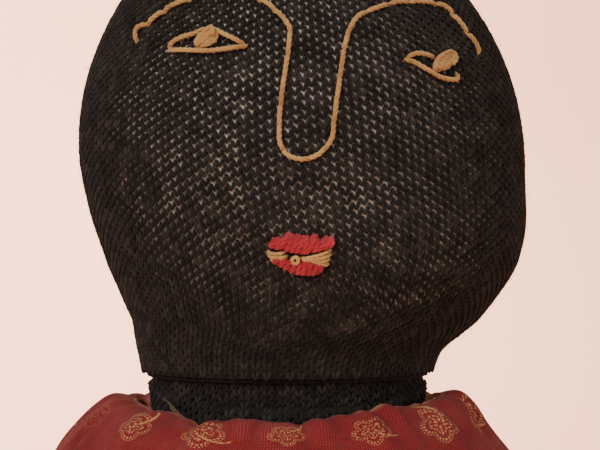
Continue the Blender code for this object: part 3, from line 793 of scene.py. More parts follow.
def stitch_tree() -> bpy.types.NodeTree:
    """Returns the tree that puts one knit stitch, two crossing legs of yarn, on each point.

    Returns:
        The shared geometry node tree.
    """
    if "knit_stitches" in bpy.data.node_groups:
        return bpy.data.node_groups["knit_stitches"]
    tree, g, entry = geometry_tree("knit_stitches", [
        ("Leg Length", FLOAT, 0.0026), ("Yarn Width", FLOAT, 0.00103), ("Yarn Thickness", FLOAT, 0.0009),
        ("Leg Lean", FLOAT, 0.44), ("Leg Apart", FLOAT, 0.00053), ("Taper", FLOAT, 1.5),
        ("Unevenness", FLOAT, 0.13),
        ("Seed", "NodeSocketInt", 7),
    ])
    size = entry.outputs
    ball = g.node("GeometryNodeMeshUVSphere", {"Segments": 6, "Rings": 4, "Radius": 0.5}).outputs[0]
    scale = g.node("ShaderNodeCombineXYZ", {0: size["Yarn Width"], 1: size["Leg Length"],
                                            2: size["Yarn Thickness"]}).outputs[0]
    laid = g.node("GeometryNodeTransform", {"Geometry": ball, "Rotation": (math.pi / 2, 0, 0)}).outputs[0]
    place = g.node("GeometryNodeInputPosition").outputs[0]
    axis = g.node("ShaderNodeSeparateXYZ", {0: place})
    wider = g.math("MULTIPLY_ADD", axis.outputs[1], size["Taper"], 1.0)
    shaped = g.node("ShaderNodeCombineXYZ", {0: g.math("MULTIPLY", axis.outputs[0], wider),
                                             1: axis.outputs[1], 2: axis.outputs[2]})
    laid = g.node("GeometryNodeSetPosition", {"Geometry": laid, "Position": shaped.outputs[0]}).outputs[0]
    legs = g.node("GeometryNodeJoinGeometry")
    for side in (1, -1):
        lean = g.node("ShaderNodeCombineXYZ", {0: -0.16, 2: g.math("MULTIPLY", size["Leg Lean"], -side)})
        place = g.node("ShaderNodeCombineXYZ", {0: g.math("MULTIPLY", size["Leg Apart"], side)})
        leg = g.node("GeometryNodeTransform", {"Geometry": laid, "Translation": place.outputs[0],
                                               "Rotation": lean.outputs[0], "Scale": scale})
        g.tree.links.new(leg.outputs[0], legs.inputs[0])
    out = g.node("GeometryNodeInputNamedAttribute", {"Name": "out"}, data_type="FLOAT_VECTOR").outputs[0]
    up = g.node("GeometryNodeInputNamedAttribute", {"Name": "up"}, data_type="FLOAT_VECTOR").outputs[0]
    stretch = g.node("GeometryNodeInputNamedAttribute", {"Name": "stretch"},
                     data_type="FLOAT_VECTOR").outputs[0]
    axes = g.node("FunctionNodeAxesToRotation", {0: out, 1: up}, primary_axis="Z", secondary_axis="Y")
    low = g.math("SUBTRACT", 1.0, size["Unevenness"])
    high = g.math("ADD", 1.0, size["Unevenness"])
    uneven = g.node("FunctionNodeRandomValue", {"Seed": size["Seed"]}, data_type="FLOAT")
    g.feed(uneven.inputs[2], low)
    g.feed(uneven.inputs[3], high)
    scaled = g.vector("SCALE", stretch)
    g.feed(scaled.node.inputs["Scale"], uneven.outputs[1])
    placed = g.node("GeometryNodeInstanceOnPoints", {
        "Points": entry.outputs["Geometry"], "Instance": legs.outputs[0],
        "Rotation": axes.outputs[0], "Scale": scaled,
    })
    shade = g.node("FunctionNodeRandomValue", {"Seed": g.math("ADD", size["Seed"], 1.0)}, data_type="FLOAT")
    stored = g.node("GeometryNodeStoreNamedAttribute", {
        "Geometry": placed.outputs[0], "Name": "shade", "Value": shade.outputs[1],
    }, data_type="FLOAT", domain="INSTANCE")
    end_tree(g, entry, stored.outputs[0])
    return tree


def yarn_tree() -> bpy.types.NodeTree:
    """Returns the tree that spins plied yarn along the edges of a mesh.

    Returns:
        The shared geometry node tree.
    """
    if "plied_yarn" in bpy.data.node_groups:
        return bpy.data.node_groups["plied_yarn"]
    tree, g, entry = geometry_tree("plied_yarn", [
        ("Yarn Radius", FLOAT, 0.0006), ("Twist Length", FLOAT, 0.0042), ("Step", FLOAT, 0.0003),
    ])
    size = entry.outputs
    curve = g.node("GeometryNodeMeshToCurve", {"Mesh": entry.outputs["Geometry"]}).outputs[0]
    fine = g.node("GeometryNodeResampleCurve", {"Curve": curve, "Length": size["Step"]}, mode="LENGTH")
    along = g.node("GeometryNodeSplineParameter").outputs["Length"]
    tangent = g.node("GeometryNodeInputTangent").outputs[0]
    normal = g.node("GeometryNodeInputNormal").outputs[0]
    side = g.vector("CROSS_PRODUCT", tangent, normal)
    plies = g.node("GeometryNodeJoinGeometry")
    for ply in range(3):
        turn = g.math("MULTIPLY_ADD", g.math("DIVIDE", along, size["Twist Length"]), TURN, ply * TURN / 3)
        reach = g.math("MULTIPLY", size["Yarn Radius"], 0.5)
        first = g.vector("SCALE", normal)
        g.feed(first.node.inputs["Scale"], g.math("MULTIPLY", g.math("COSINE", turn), reach))
        second = g.vector("SCALE", side)
        g.feed(second.node.inputs["Scale"], g.math("MULTIPLY", g.math("SINE", turn), reach))
        twisted = g.node("GeometryNodeSetPosition", {"Geometry": fine.outputs[0],
                                                     "Offset": g.vector("ADD", first, second)})
        profile = g.node("GeometryNodeCurvePrimitiveCircle", {
            "Resolution": 6, "Radius": g.math("MULTIPLY", size["Yarn Radius"], 0.6)}).outputs[0]
        strand = g.node("GeometryNodeCurveToMesh", {"Curve": twisted.outputs[0], "Profile Curve": profile,
                                                    "Fill Caps": True})
        g.tree.links.new(strand.outputs[0], plies.inputs[0])
    end_tree(g, entry, plies.outputs[0])
    return tree


def fuzz_tree() -> bpy.types.NodeTree:
    """Returns the tree that scatters short curved fibres over a surface.

    Returns:
        The shared geometry node tree.
    """
    if "loose_fibres" in bpy.data.node_groups:
        return bpy.data.node_groups["loose_fibres"]
    tree, g, entry = geometry_tree("loose_fibres", [
        ("Fibre Length", FLOAT, 0.0026), ("Fibre Radius", FLOAT, 0.00004), ("Density", FLOAT, 60000.0),
        ("Seed", "NodeSocketInt", 11),
    ])
    size = entry.outputs
    spread = g.node("GeometryNodeDistributePointsOnFaces", {
        "Mesh": entry.outputs["Geometry"], "Density": size["Density"], "Seed": size["Seed"]},
        distribute_method="RANDOM")
    half = g.math("MULTIPLY", size["Fibre Length"], 0.5)
    tip = g.node("ShaderNodeCombineXYZ", {0: half, 2: half}).outputs[0]
    bend = g.node("ShaderNodeCombineXYZ", {2: g.math("MULTIPLY", size["Fibre Length"], 0.45)}).outputs[0]
    line = g.node("GeometryNodeCurvePrimitiveBezierSegment", {
        "Resolution": 3, "Start": (0, 0, 0), "Start Handle": bend, "End Handle": tip, "End": tip},
        mode="POSITION")
    profile = g.node("GeometryNodeCurvePrimitiveCircle", {"Resolution": 3, "Radius": size["Fibre Radius"]})
    fibre = g.node("GeometryNodeCurveToMesh", {"Curve": line.outputs[0], "Profile Curve": profile.outputs[0],
                                               "Fill Caps": True})
    spin = g.node("FunctionNodeRandomValue", {"Seed": size["Seed"]}, data_type="FLOAT_VECTOR")
    spin.inputs[0].default_value = (-0.7, -0.7, 0.0)
    spin.inputs[1].default_value = (0.7, 0.7, TURN)
    turned = g.node("FunctionNodeRotateRotation", {
        0: spread.outputs["Rotation"],
        1: g.node("FunctionNodeEulerToRotation", {0: spin.outputs[0]}).outputs[0]}, rotation_space="LOCAL")
    reach = g.node("FunctionNodeRandomValue", {"Seed": g.math("ADD", size["Seed"], 1.0)}, data_type="FLOAT")
    reach.inputs[2].default_value = 0.3
    placed = g.node("GeometryNodeInstanceOnPoints", {
        "Points": spread.outputs[0], "Instance": fibre.outputs[0], "Rotation": turned.outputs[0],
        "Scale": reach.outputs[1]})
    stored = g.node("GeometryNodeStoreNamedAttribute", {
        "Geometry": placed.outputs[0], "Name": "shade", "Value": reach.outputs[1],
    }, data_type="FLOAT", domain="INSTANCE")
    end_tree(g, entry, stored.outputs[0])
    return tree


def grow(name: str, carrier: bpy.types.Object, tree: bpy.types.NodeTree, finish: Finish,
         **values: float) -> bpy.types.Object:
    """Runs a geometry tree on a carrier and keeps what it made as a plain mesh.

    Args:
        name: The new piece's name.
        carrier: The mesh that carries the points or lines, which is removed.
        tree: The geometry node tree.
        finish: What the piece is made of.
        values: Sizes by input name, with underscores for spaces.

    Returns:
        The finished piece.
    """
    modifier = carrier.modifiers.new("grow", "NODES")
    modifier.node_group = tree
    wanted = {key.replace("_", " ").title(): value for key, value in values.items()}
    wanted["Material"] = finish.material()
    for item in tree.interface.items_tree:
        if item.item_type == "SOCKET" and item.in_out == "INPUT" and item.name in wanted:
            modifier[item.identifier] = wanted[item.name]
    evaluated = carrier.evaluated_get(bpy.context.evaluated_depsgraph_get())
    mesh = bpy.data.meshes.new_from_object(evaluated)
    mesh.name = name
    bpy.data.objects.remove(carrier, do_unlink=True)
    made = bpy.data.objects.new(name, mesh)
    bpy.context.scene.collection.objects.link(made)
    log.info("%s: %d faces", name, len(mesh.polygons))
    return made


def line_mesh(name: str, lines: list[list[Vector]]) -> bpy.types.Object:
    """Makes a mesh of separate open or closed lines, one for each strand of yarn.

    Args:
        name: The carrier's name.
        lines: The points of each line. A line whose last point is its first is closed.

    Returns:
        The carrier.
    """
    points, edges = [], []
    for line in lines:
        start, closed = len(points), (Vector(line[0]) - Vector(line[-1])).length < 1e-9
        kept = line[:-1] if closed else line
        points += [tuple(p) for p in kept]
        edges += [(start + i, start + i + 1) for i in range(len(kept) - 1)]
        if closed:
            edges.append((start + len(kept) - 1, start))
    mesh = bpy.data.meshes.new(name)
    mesh.from_pydata(points, edges, [])
    made = bpy.data.objects.new(name, mesh)
    bpy.context.scene.collection.objects.link(made)
    return made


# --- Stuffed knit ---


@dataclass
class Stocking:
    """A machine-knit skin of separate stitches over a stuffed form."""

    name: str
    surface: Turned
    wales: int
    start: float
    end: float
    wale_pitch: float = 0.0020
    course_pitch: float = 0.0022
    cover: float = 0.0004
    drawn_in: float = 0.012
    seed: int = 7

    def carrier(self) -> bpy.types.Object:
        """Returns a mesh with a point for each stitch, and its directions and stretch as attributes.

        Returns:
            The points that the stitch tree works on.
        """
        turns, alongs, narrow, close = [], [], [], []
        courses = int(round((self.end - self.start) / self.course_pitch))
        for course in range(courses):
            base = self.start + (course + 0.25) * self.course_pitch
            pitch = TURN * float(self.surface.radius(base)) / self.wales
            step = 1 if pitch > 0.5 * self.wale_pitch else 2 if pitch > 0.22 * self.wale_pitch else 4
            for wale in range(0, self.wales, step):
                drop = 0.5 * self.course_pitch * ((wale // step) % 2)
                turns.append((wale + 0.5) / self.wales)
                alongs.append(base + drop)
                narrow.append(max(0.86, min(1.35, step * pitch / self.wale_pitch)))
                close.append(1 + 0.3 * math.exp(-((base - self.start) / self.drawn_in) ** 2))
        turn, along = np.array(turns), np.array(alongs)
        out, up = self.surface.normal(turn, along)
        points = self.surface.at(turn, along, self.cover)
        mesh = bpy.data.meshes.new(self.name)
        mesh.from_pydata([tuple(p) for p in points], [], [])
        stretch = np.stack([np.array(narrow) * np.array(close), np.array(close), np.ones(len(turn))], axis=-1)
        for label, values in (("out", out), ("up", up), ("stretch", stretch)):
            kept = mesh.attributes.new(label, "FLOAT_VECTOR", "POINT")
            kept.data.foreach_set("vector", values.astype(np.float32).ravel())
        made = bpy.data.objects.new(self.name, mesh)
        bpy.context.scene.collection.objects.link(made)
        return made

    def knit(self) -> bpy.types.Object:
        """Returns the stitches as one piece."""
        return grow(self.name, self.carrier(), stitch_tree(), BLACK_WOOL, seed=self.seed)

    def fuzz(self, density: float) -> bpy.types.Object:
        """Returns the loose fibres that stand off the knit.

        Args:
            density: Fibres to a square metre.

        Returns:
            The fibres as one piece.
        """
        rows, columns = 60, 72
        along = np.linspace(self.start, self.end, rows)
        points = np.concatenate([
            self.surface.at(np.arange(columns) / columns, np.full(columns, a), self.cover) for a in along])
        carrier = mesh_object(self.name + "_fuzz", points, lattice_faces(rows, columns))
        return grow(self.name + "_fuzz", carrier, fuzz_tree(), BLACK_WOOL, density=density, seed=self.seed)


def stand_in(piece: bpy.types.Object, body: str, slot: Slot, *nodes: str) -> bpy.types.Object:
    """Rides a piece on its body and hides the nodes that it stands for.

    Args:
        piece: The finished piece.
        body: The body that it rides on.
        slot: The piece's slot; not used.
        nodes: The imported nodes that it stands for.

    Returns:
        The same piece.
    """
    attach(piece, body)
    if nodes:
        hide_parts(*nodes)
    return piece


@dataclass
class Head:
    """The stuffed head: stitches over filling that shows between them, with a gather at the crown."""

    shape: HeadShape = field(default_factory=HeadShape)
    wales: int = 168
    crown_radius: float = 0.004
    filling_depth: float = 0.00115
    filling_start: float = 0.0036
    cavity_radius: float = 0.03605
    bore_radius: float = 0.0115
    bore_top: float = 0.0515

    def surface(self) -> Turned:
        """Returns the head's outer surface.

        Returns:
            The surface, from the rim up to the crown.
        """
        widest = self.shape.widest_at * self.shape.height
        low = np.linspace(self.shape.rim_height, widest, 60)
        turn = np.linspace(0, math.pi / 2, 80)[1:]
        height = np.concatenate([low, widest + (self.shape.height - widest) * np.sin(turn)])
        wide, deep, shift = self.shape.sizes(height)
        wide[60:], deep[60:] = self.shape.half_width * np.cos(turn), self.shape.half_depth * np.cos(turn)
        return Turned(wide, deep, height + PIVOT.z, shift, lumps=0.0006)

    def build(self) -> None:
        """Makes the stocking, its fuzz and the filling."""
        surface = self.surface()
        end = surface.length - self.crown_radius
        stocking = Stocking("head_stocking", surface, self.wales, 0.0002, end)
        skin = stand_in(stocking.knit(), "head", Slot.BLACK_KNIT, "head_knit")
        stand_in(stocking.fuzz(190000.0), "head", Slot.BLACK_KNIT)
        self.hem(surface)
        self.filling(surface)
        self.crown()

    def hem(self, surface: Turned) -> None:
        """Makes the stocking's turned-in edge at the neck crease.

        Args:
            surface: The head's outer surface.
        """
        count = 120
        turns = np.arange(count) / count
        tucked = [np.stack([r * np.cos(TURN * turns), r * np.sin(TURN * turns),
                            np.full(count, PIVOT.z + z)], axis=-1)
                  for r, z in ((0.0357, 0.0035), (0.0357, 0.0010), (0.0359, 0.0004), (0.0362, 0.0005))]
        up = [surface.at(turns, np.full(count, a), 0.0005) for a in np.linspace(0.0003, 0.0085, 11)]
        made = mesh_object("head_hem", np.concatenate([*tucked, *up]), lattice_faces(15, count), BLACK_WOOL)
        wall = made.modifiers.new("wall", "SOLIDIFY")
        wall.thickness, wall.offset = 0.0003, -1
        stand_in(made, "head", Slot.BLACK_KNIT)

    def filling(self, surface: Turned) -> None:
        """Makes the filling, hollowed below for the neck's dome and its stiffening roll.

        Args:
            surface: The head's outer surface.
        """
        count = 120
        turns = np.arange(count) / count
        rings = [surface.at(turns, np.full(count, a), self.filling_depth)
                 for a in np.linspace(self.filling_start, surface.length - 0.002, 110)]
        rim = math.asin((self.shape.rim_height + self.filling_start) / self.cavity_radius)
        top = math.acos(self.bore_radius / self.cavity_radius)
        profile = [(self.cavity_radius * math.cos(t), self.cavity_radius * math.sin(t))
                   for t in np.linspace(rim, top, 12)]
        profile.append((self.bore_radius, self.bore_top))
        inner = [np.stack([r * np.cos(TURN * turns), r * np.sin(TURN * turns), np.full(count, PIVOT.z + z)],
                          axis=-1) for r, z in profile]
        made = turned_solid("head_filling", inner[::-1] + rings, FILLING)
        stand_in(made, "head", Slot.CREAM_STUFFING, "head_stuffing")

    def crown(self) -> None:
        """Makes the thread knot that draws the stocking shut, with its radiating stitches."""
        low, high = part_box("crown_gather")
        centre = Vector(((low.x + high.x) / 2, 0, low.z + 0.0012))
        lines = []
        for spoke in range(14):
            angle = TURN * (spoke + 0.3 * math.sin(5 * spoke)) / 14
            ray = Vector((math.cos(angle), math.sin(angle), 0))
            reach = 0.0052 + 0.0009 * math.sin(3 * spoke)
            lines.append([centre + ray * 0.0006 + Vector((0, 0, 0.0012)), centre + ray * 0.5 * reach
                          + Vector((0, 0, 0.0008)), centre + ray * reach - Vector((0, 0, 0.0016))])
        coil = []
        for step in range(55):
            angle, radius = TURN * step / 11, 0.0026 - 0.00004 * step
            coil.append(centre + Vector((radius * math.cos(angle), radius * math.sin(angle),
                                         0.0004 + 0.00004 * step)))
        lines.append(coil)
        made = grow("crown_knot_thread", line_mesh("crown_knot", lines), yarn_tree(), BLACK_THREAD,
                    yarn_radius=0.00045, twist_length=0.003)
        stand_in(made, "head", Slot.BLACK_THREAD, "crown_gather")


# --- The face ---


@dataclass
class Face:
    """The face, embroidered in plied yarn. Places are across from the axis and above the crease."""

    shape: HeadShape
    yarn_radius: float = 0.00058
    rise: float = 0.00075
    dip: float = 0.0011
    stitch_length: float = 0.0056

    def spot(self, across: float, height: float, lift: float = 0.0) -> Vector:
        """Returns a point on the face at a lift."""
        return self.shape.on_face(across, height, lift)

    def smooth_line(self, points: list[tuple[float, float]], count: int) -> np.ndarray:
        """Returns evenly spaced places on a rounded line through given points.

        Args:
            points: Given (across, height) places.
            count: How many places to give.

        Returns:
            The places, evenly spaced.
        """
        points = np.array(points, float)
        run = np.concatenate([[0], np.cumsum(np.linalg.norm(np.diff(points, axis=0), axis=1))])
        at = np.linspace(0, run[-1], count)
        return np.stack([through(list(zip(run, points[:, k])), at) for k in range(2)], axis=-1)

    def strand(self, places: np.ndarray, rise: float | None = None, dip: float | None = None) -> list[Vector]:
        """A stitch that comes up through the knit, lies on it and goes back in.

        Args:
            places: (across, height) along the stitch.
            rise: How high its middle stands.
            dip: How deep its ends go.

        Returns:
            The yarn's centre line.
        """
        rise = self.rise if rise is None else rise
        dip = self.dip if dip is None else dip
        share = np.linspace(-1, 1, len(places))
        lift = rise - (rise + dip) * np.abs(share) ** 5
        return [self.spot(x, z, float(up)) for (x, z), up in zip(places, lift)]

    def backstitch(self, points: list[tuple[float, float]], overlap: float = 0.0004) -> list[list[Vector]]:
        """Splits a line into stitches of about one length, each starting where the last went in.

        Args:
            points: Given (across, height) places.
            overlap: How far each stitch overlaps the next.

        Returns:
            The yarn's centre line for each stitch.
        """
        points = np.array(points, float)
        run = np.concatenate([[0], np.cumsum(np.linalg.norm(np.diff(points, axis=0), axis=1))])
        curves = [list(zip(run, points[:, k])) for k in range(2)]
        count = max(1, round(run[-1] / self.stitch_length))
        lines = []
        for i in range(count):
            nudge = 0.12 * math.sin(2.4 * i)
            start = run[-1] * (i + (nudge if i else 0)) / count
            end = run[-1] * (i + 1 + (0.12 * math.sin(2.4 * (i + 1)) if i < count - 1 else 0)) / count
            at = np.linspace(max(0, start - overlap / 2), min(run[-1], end + overlap / 2), 14)
            lines.append(self.strand(np.stack([through(c, at) for c in curves], axis=-1)))
        return lines

    def sew(self, name: str, lines: list[list[Vector]], finish: Finish, slot: Slot, node: str,
            radius: float | None = None) -> None:
        """Spins the yarn along the lines, as one piece that stands for a node.

        Args:
            name: The piece's name.
            lines: The yarn's centre lines.
            finish: What the yarn is made of.
            slot: The slot that it takes its finish from.
            node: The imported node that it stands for.
            radius: The yarn's radius, where it isn't the usual one.
        """
        made = grow(name, line_mesh(name, lines), yarn_tree(), finish,
                    yarn_radius=radius or self.yarn_radius)
        stand_in(made, "head", slot, node)

    def brow_and_nose(self) -> None:
        """Sews the long line: a brow, down and round the nose, and up into the other brow."""
        line = [
            (-0.0357, 0.0800), (-0.0355, 0.0829), (-0.0320, 0.0850), (-0.0285, 0.0875), (-0.0250, 0.0890),
            (-0.0200, 0.0908), (-0.0138, 0.0913), (-0.0079, 0.0901), (-0.0041, 0.0878), (-0.0011, 0.0849),
            (0.0008, 0.0816), (0.0004, 0.0765), (-0.0006, 0.0700), (-0.0012, 0.0650), (-0.0016, 0.0600),
            (-0.0016, 0.0566), (-0.0008, 0.0541), (0.0008, 0.0525), (0.0036, 0.0518), (0.0065, 0.0525),
            (0.0088, 0.0543), (0.0105, 0.0572), (0.0109, 0.0610), (0.0114, 0.0650), (0.0121, 0.0698),
            (0.0128, 0.0748), (0.0137, 0.0795), (0.0150, 0.0830), (0.0172, 0.0856), (0.0209, 0.0872),
            (0.0250, 0.0887), (0.0303, 0.0893), (0.0350, 0.0893), (0.0385, 0.0878), (0.0410, 0.0848),
            (0.0434, 0.0820), (0.0450, 0.0795), (0.0460, 0.0775),
        ]
        self.sew("brow_and_nose_stitches", self.backstitch(line), TAN_WOOL, Slot.TAN_YARN,
                 "brow_and_nose_yarn")

    def knot(self, across: float, height: float, half_width: float, half_height: float, winds: int,
             point: float = 0.0) -> list[list[Vector]]:
        """Yarn wound round on itself.

        Args:
            across: The knot's middle.
            height: The knot's middle, above the crease.
            half_width: Half its width.
            half_height: Half its height.
            winds: Turns of yarn.
            point: How much its top is drawn up to a point, from 0 to 1.

        Returns:
            The yarn's centre lines.
        """
        line = []
        steps = 12 * winds
        for i in range(steps + 1):
            share = i / steps
            angle = TURN * winds * share + 0.8
            reach = 0.25 + 0.62 * abs(math.sin(0.5 * TURN * (0.15 + 1.35 * share)))
            x, z = reach * math.cos(angle), reach * math.sin(angle * 1.07)
            x *= 1 - point * max(0.0, z)
            line.append(self.spot(across + half_width * x, height + half_height * z,
                                  self.rise + 0.0011 * share + 0.0003 * math.sin(3 * angle)))
        first = self.spot(across - 0.3 * half_width, height - 0.4 * half_height, -self.dip)
        last = self.spot(across + 0.2 * half_width, height + 0.3 * half_height, 0.0002)
        return [[first, *line, last]]

    def eyes(self) -> None:
        """Sews the almond outlines and their knots. The doll's left eye is worked lower."""
        right = [
            self.strand(self.smooth_line([(-0.0281, 0.0779), (-0.0225, 0.0773), (-0.0180, 0.0770),
                                          (-0.0136, 0.0774), (-0.0092, 0.0784)], 22)),
            self.strand(self.smooth_line([(-0.0280, 0.0780), (-0.0266, 0.0793), (-0.0240, 0.0805),
                                          (-0.0210, 0.0813), (-0.0187, 0.0829)], 16)),
            self.strand(self.smooth_line([(-0.0176, 0.0828), (-0.0150, 0.0812), (-0.0124, 0.0799),
                                          (-0.0100, 0.0787)], 14)),
        ]
        self.sew("right_eye_stitches", right, TAN_WOOL, Slot.TAN_YARN, "right_eye_outline")
        right_knot = self.knot(-0.0181, 0.0801, 0.0029, 0.0026, 5, point=0.6)
        self.sew("right_eye_knot_yarn", right_knot, TAN_WOOL, Slot.TAN_YARN, "right_eye_knot", 0.0005)
        left = [
            self.strand(self.smooth_line([(0.0280, 0.0754), (0.0290, 0.0763), (0.0306, 0.0766),
                                          (0.0328, 0.0763), (0.0348, 0.0757)], 16)),
            self.strand(self.smooth_line([(0.0268, 0.0756), (0.0288, 0.0749), (0.0312, 0.0735),
                                          (0.0338, 0.0721), (0.0358, 0.0711), (0.0382, 0.0707),
                                          (0.0400, 0.0710), (0.0403, 0.0722), (0.0394, 0.0730)], 26)),
        ]
        self.sew("left_eye_stitches", left, TAN_WOOL, Slot.TAN_YARN, "left_eye_outline")
        left_knot = self.knot(0.0364, 0.0749, 0.0028, 0.0025, 6)
        self.sew("left_eye_knot_yarn", left_knot, TAN_WOOL, Slot.TAN_YARN, "left_eye_knot", 0.0005)

    def satin(self, left: float, right: float, top: list[tuple[float, float]],
              foot: list[tuple[float, float]], count: int, lean: float, bulge: float) -> list[list[Vector]]:
        """Side-by-side stitches that fill a lip.

        Args:
            left: Where the first stitch stands.
            right: Where the last stitch stands.
            top: (across, height) along the upper edge.
            foot: (across, height) along the lower edge.
            count: Number of stitches in each of two layers.
            lean: How far each stitch's top leans to the doll's left.
            bulge: How much higher the second layer stands.

        Returns:
            The yarn's centre lines.
        """
        lines = []
        for layer in range(2):
            for i in range(count):
                share = (i + 0.5 * layer) / (count - 0.5)
                x = left + (right - left) * share
                tilt = lean * (1 + 0.5 * math.sin(3.7 * i + layer))
                low_x = min(max(x - 0.5 * tilt, left), right)
                high_x = min(max(x + 0.5 * tilt, left), right)
                low = (low_x, float(through(foot, low_x)) + 0.0003)
                high = (high_x, float(through(top, high_x)) - 0.0003
                        + 0.00025 * math.sin(5.1 * i + 2 * layer))
                middle = (0.5 * (low[0] + high[0]) + 0.00015, 0.5 * (low[1] + high[1]))
                places = self.smooth_line([low, middle, high], 12)
                lines.append(self.strand(places, rise=self.rise + bulge * (0.4 + layer), dip=0.0009))
        return lines

    def mouth(self) -> None:
        """Sews two red lips with straw-coloured teeth between them."""
        upper = self.satin(
            -0.0036, 0.0104,
            [(-0.0040, 0.0326), (-0.0028, 0.0338), (-0.0013, 0.0334), (0.0008, 0.0349), (0.0026, 0.0342),
             (0.0048, 0.0340), (0.0066, 0.0345), (0.0080, 0.0330), (0.0096, 0.0341), (0.0106, 0.0334)],
            [(-0.0040, 0.0318), (-0.0015, 0.0311), (0.0012, 0.0304), (0.0038, 0.0300), (0.0060, 0.0305),
             (0.0085, 0.0313), (0.0106, 0.0320)], 12, 0.0017, 0.0005)
        self.sew("upper_lip_satin", upper, RED_WOOL, Slot.RED_YARN, "upper_lip_stitches", 0.00066)
        lower = self.satin(
            -0.0028, 0.0078,
            [(-0.0030, 0.0291), (-0.0004, 0.0289), (0.0030, 0.0284), (0.0056, 0.0288), (0.0080, 0.0281)],
            [(-0.0030, 0.0284), (-0.0010, 0.0272), (0.0012, 0.0259), (0.0040, 0.0252), (0.0064, 0.0253),
             (0.0080, 0.0265)], 9, 0.0010, 0.0005)
        self.sew("lower_lip_satin", lower, RED_WOOL, Slot.RED_YARN, "lower_lip_stitches", 0.00064)
        teeth = []
        for row, (start, end) in enumerate((((-0.0044, 0.0307), (-0.0002, 0.0306)),
                                            ((-0.0042, 0.0297), (0.0002, 0.0295)),
                                            ((-0.0036, 0.0288), (0.0000, 0.0287)))):
            middle = (0.5 * (start[0] + end[0]), 0.5 * (start[1] + end[1]) - 0.0003 + 0.0002 * row)
            teeth.append(self.strand(self.smooth_line([start, middle, end], 12), rise=self.rise + 0.0004))
        for start, end in (((0.0030, 0.0290), (0.0104, 0.0311)), ((0.0032, 0.0287), (0.0103, 0.0299)),
                           ((0.0036, 0.0284), (0.0100, 0.0288)), ((0.0062, 0.0284), (0.0097, 0.0277))):
            middle = (0.5 * (start[0] + end[0]), 0.5 * (start[1] + end[1]) - 0.0002)
            teeth.append(self.strand(self.smooth_line([start, middle, end], 14), rise=self.rise + 0.0003))
        teeth.append([self.spot(0.0021 + 0.0007 * math.cos(t), 0.0289 + 0.0008 * math.sin(t),
                                self.rise + 0.0007)
                      for t in np.linspace(0, TURN, 17)])
        self.sew("teeth_satin", teeth, STRAW_WOOL, Slot.STRAW_YARN, "teeth_stitches", 0.00044)

    def build(self) -> None:
        """Sews the whole face."""
        self.brow_and_nose()
        self.eyes()
        self.mouth()


# --- The body ---


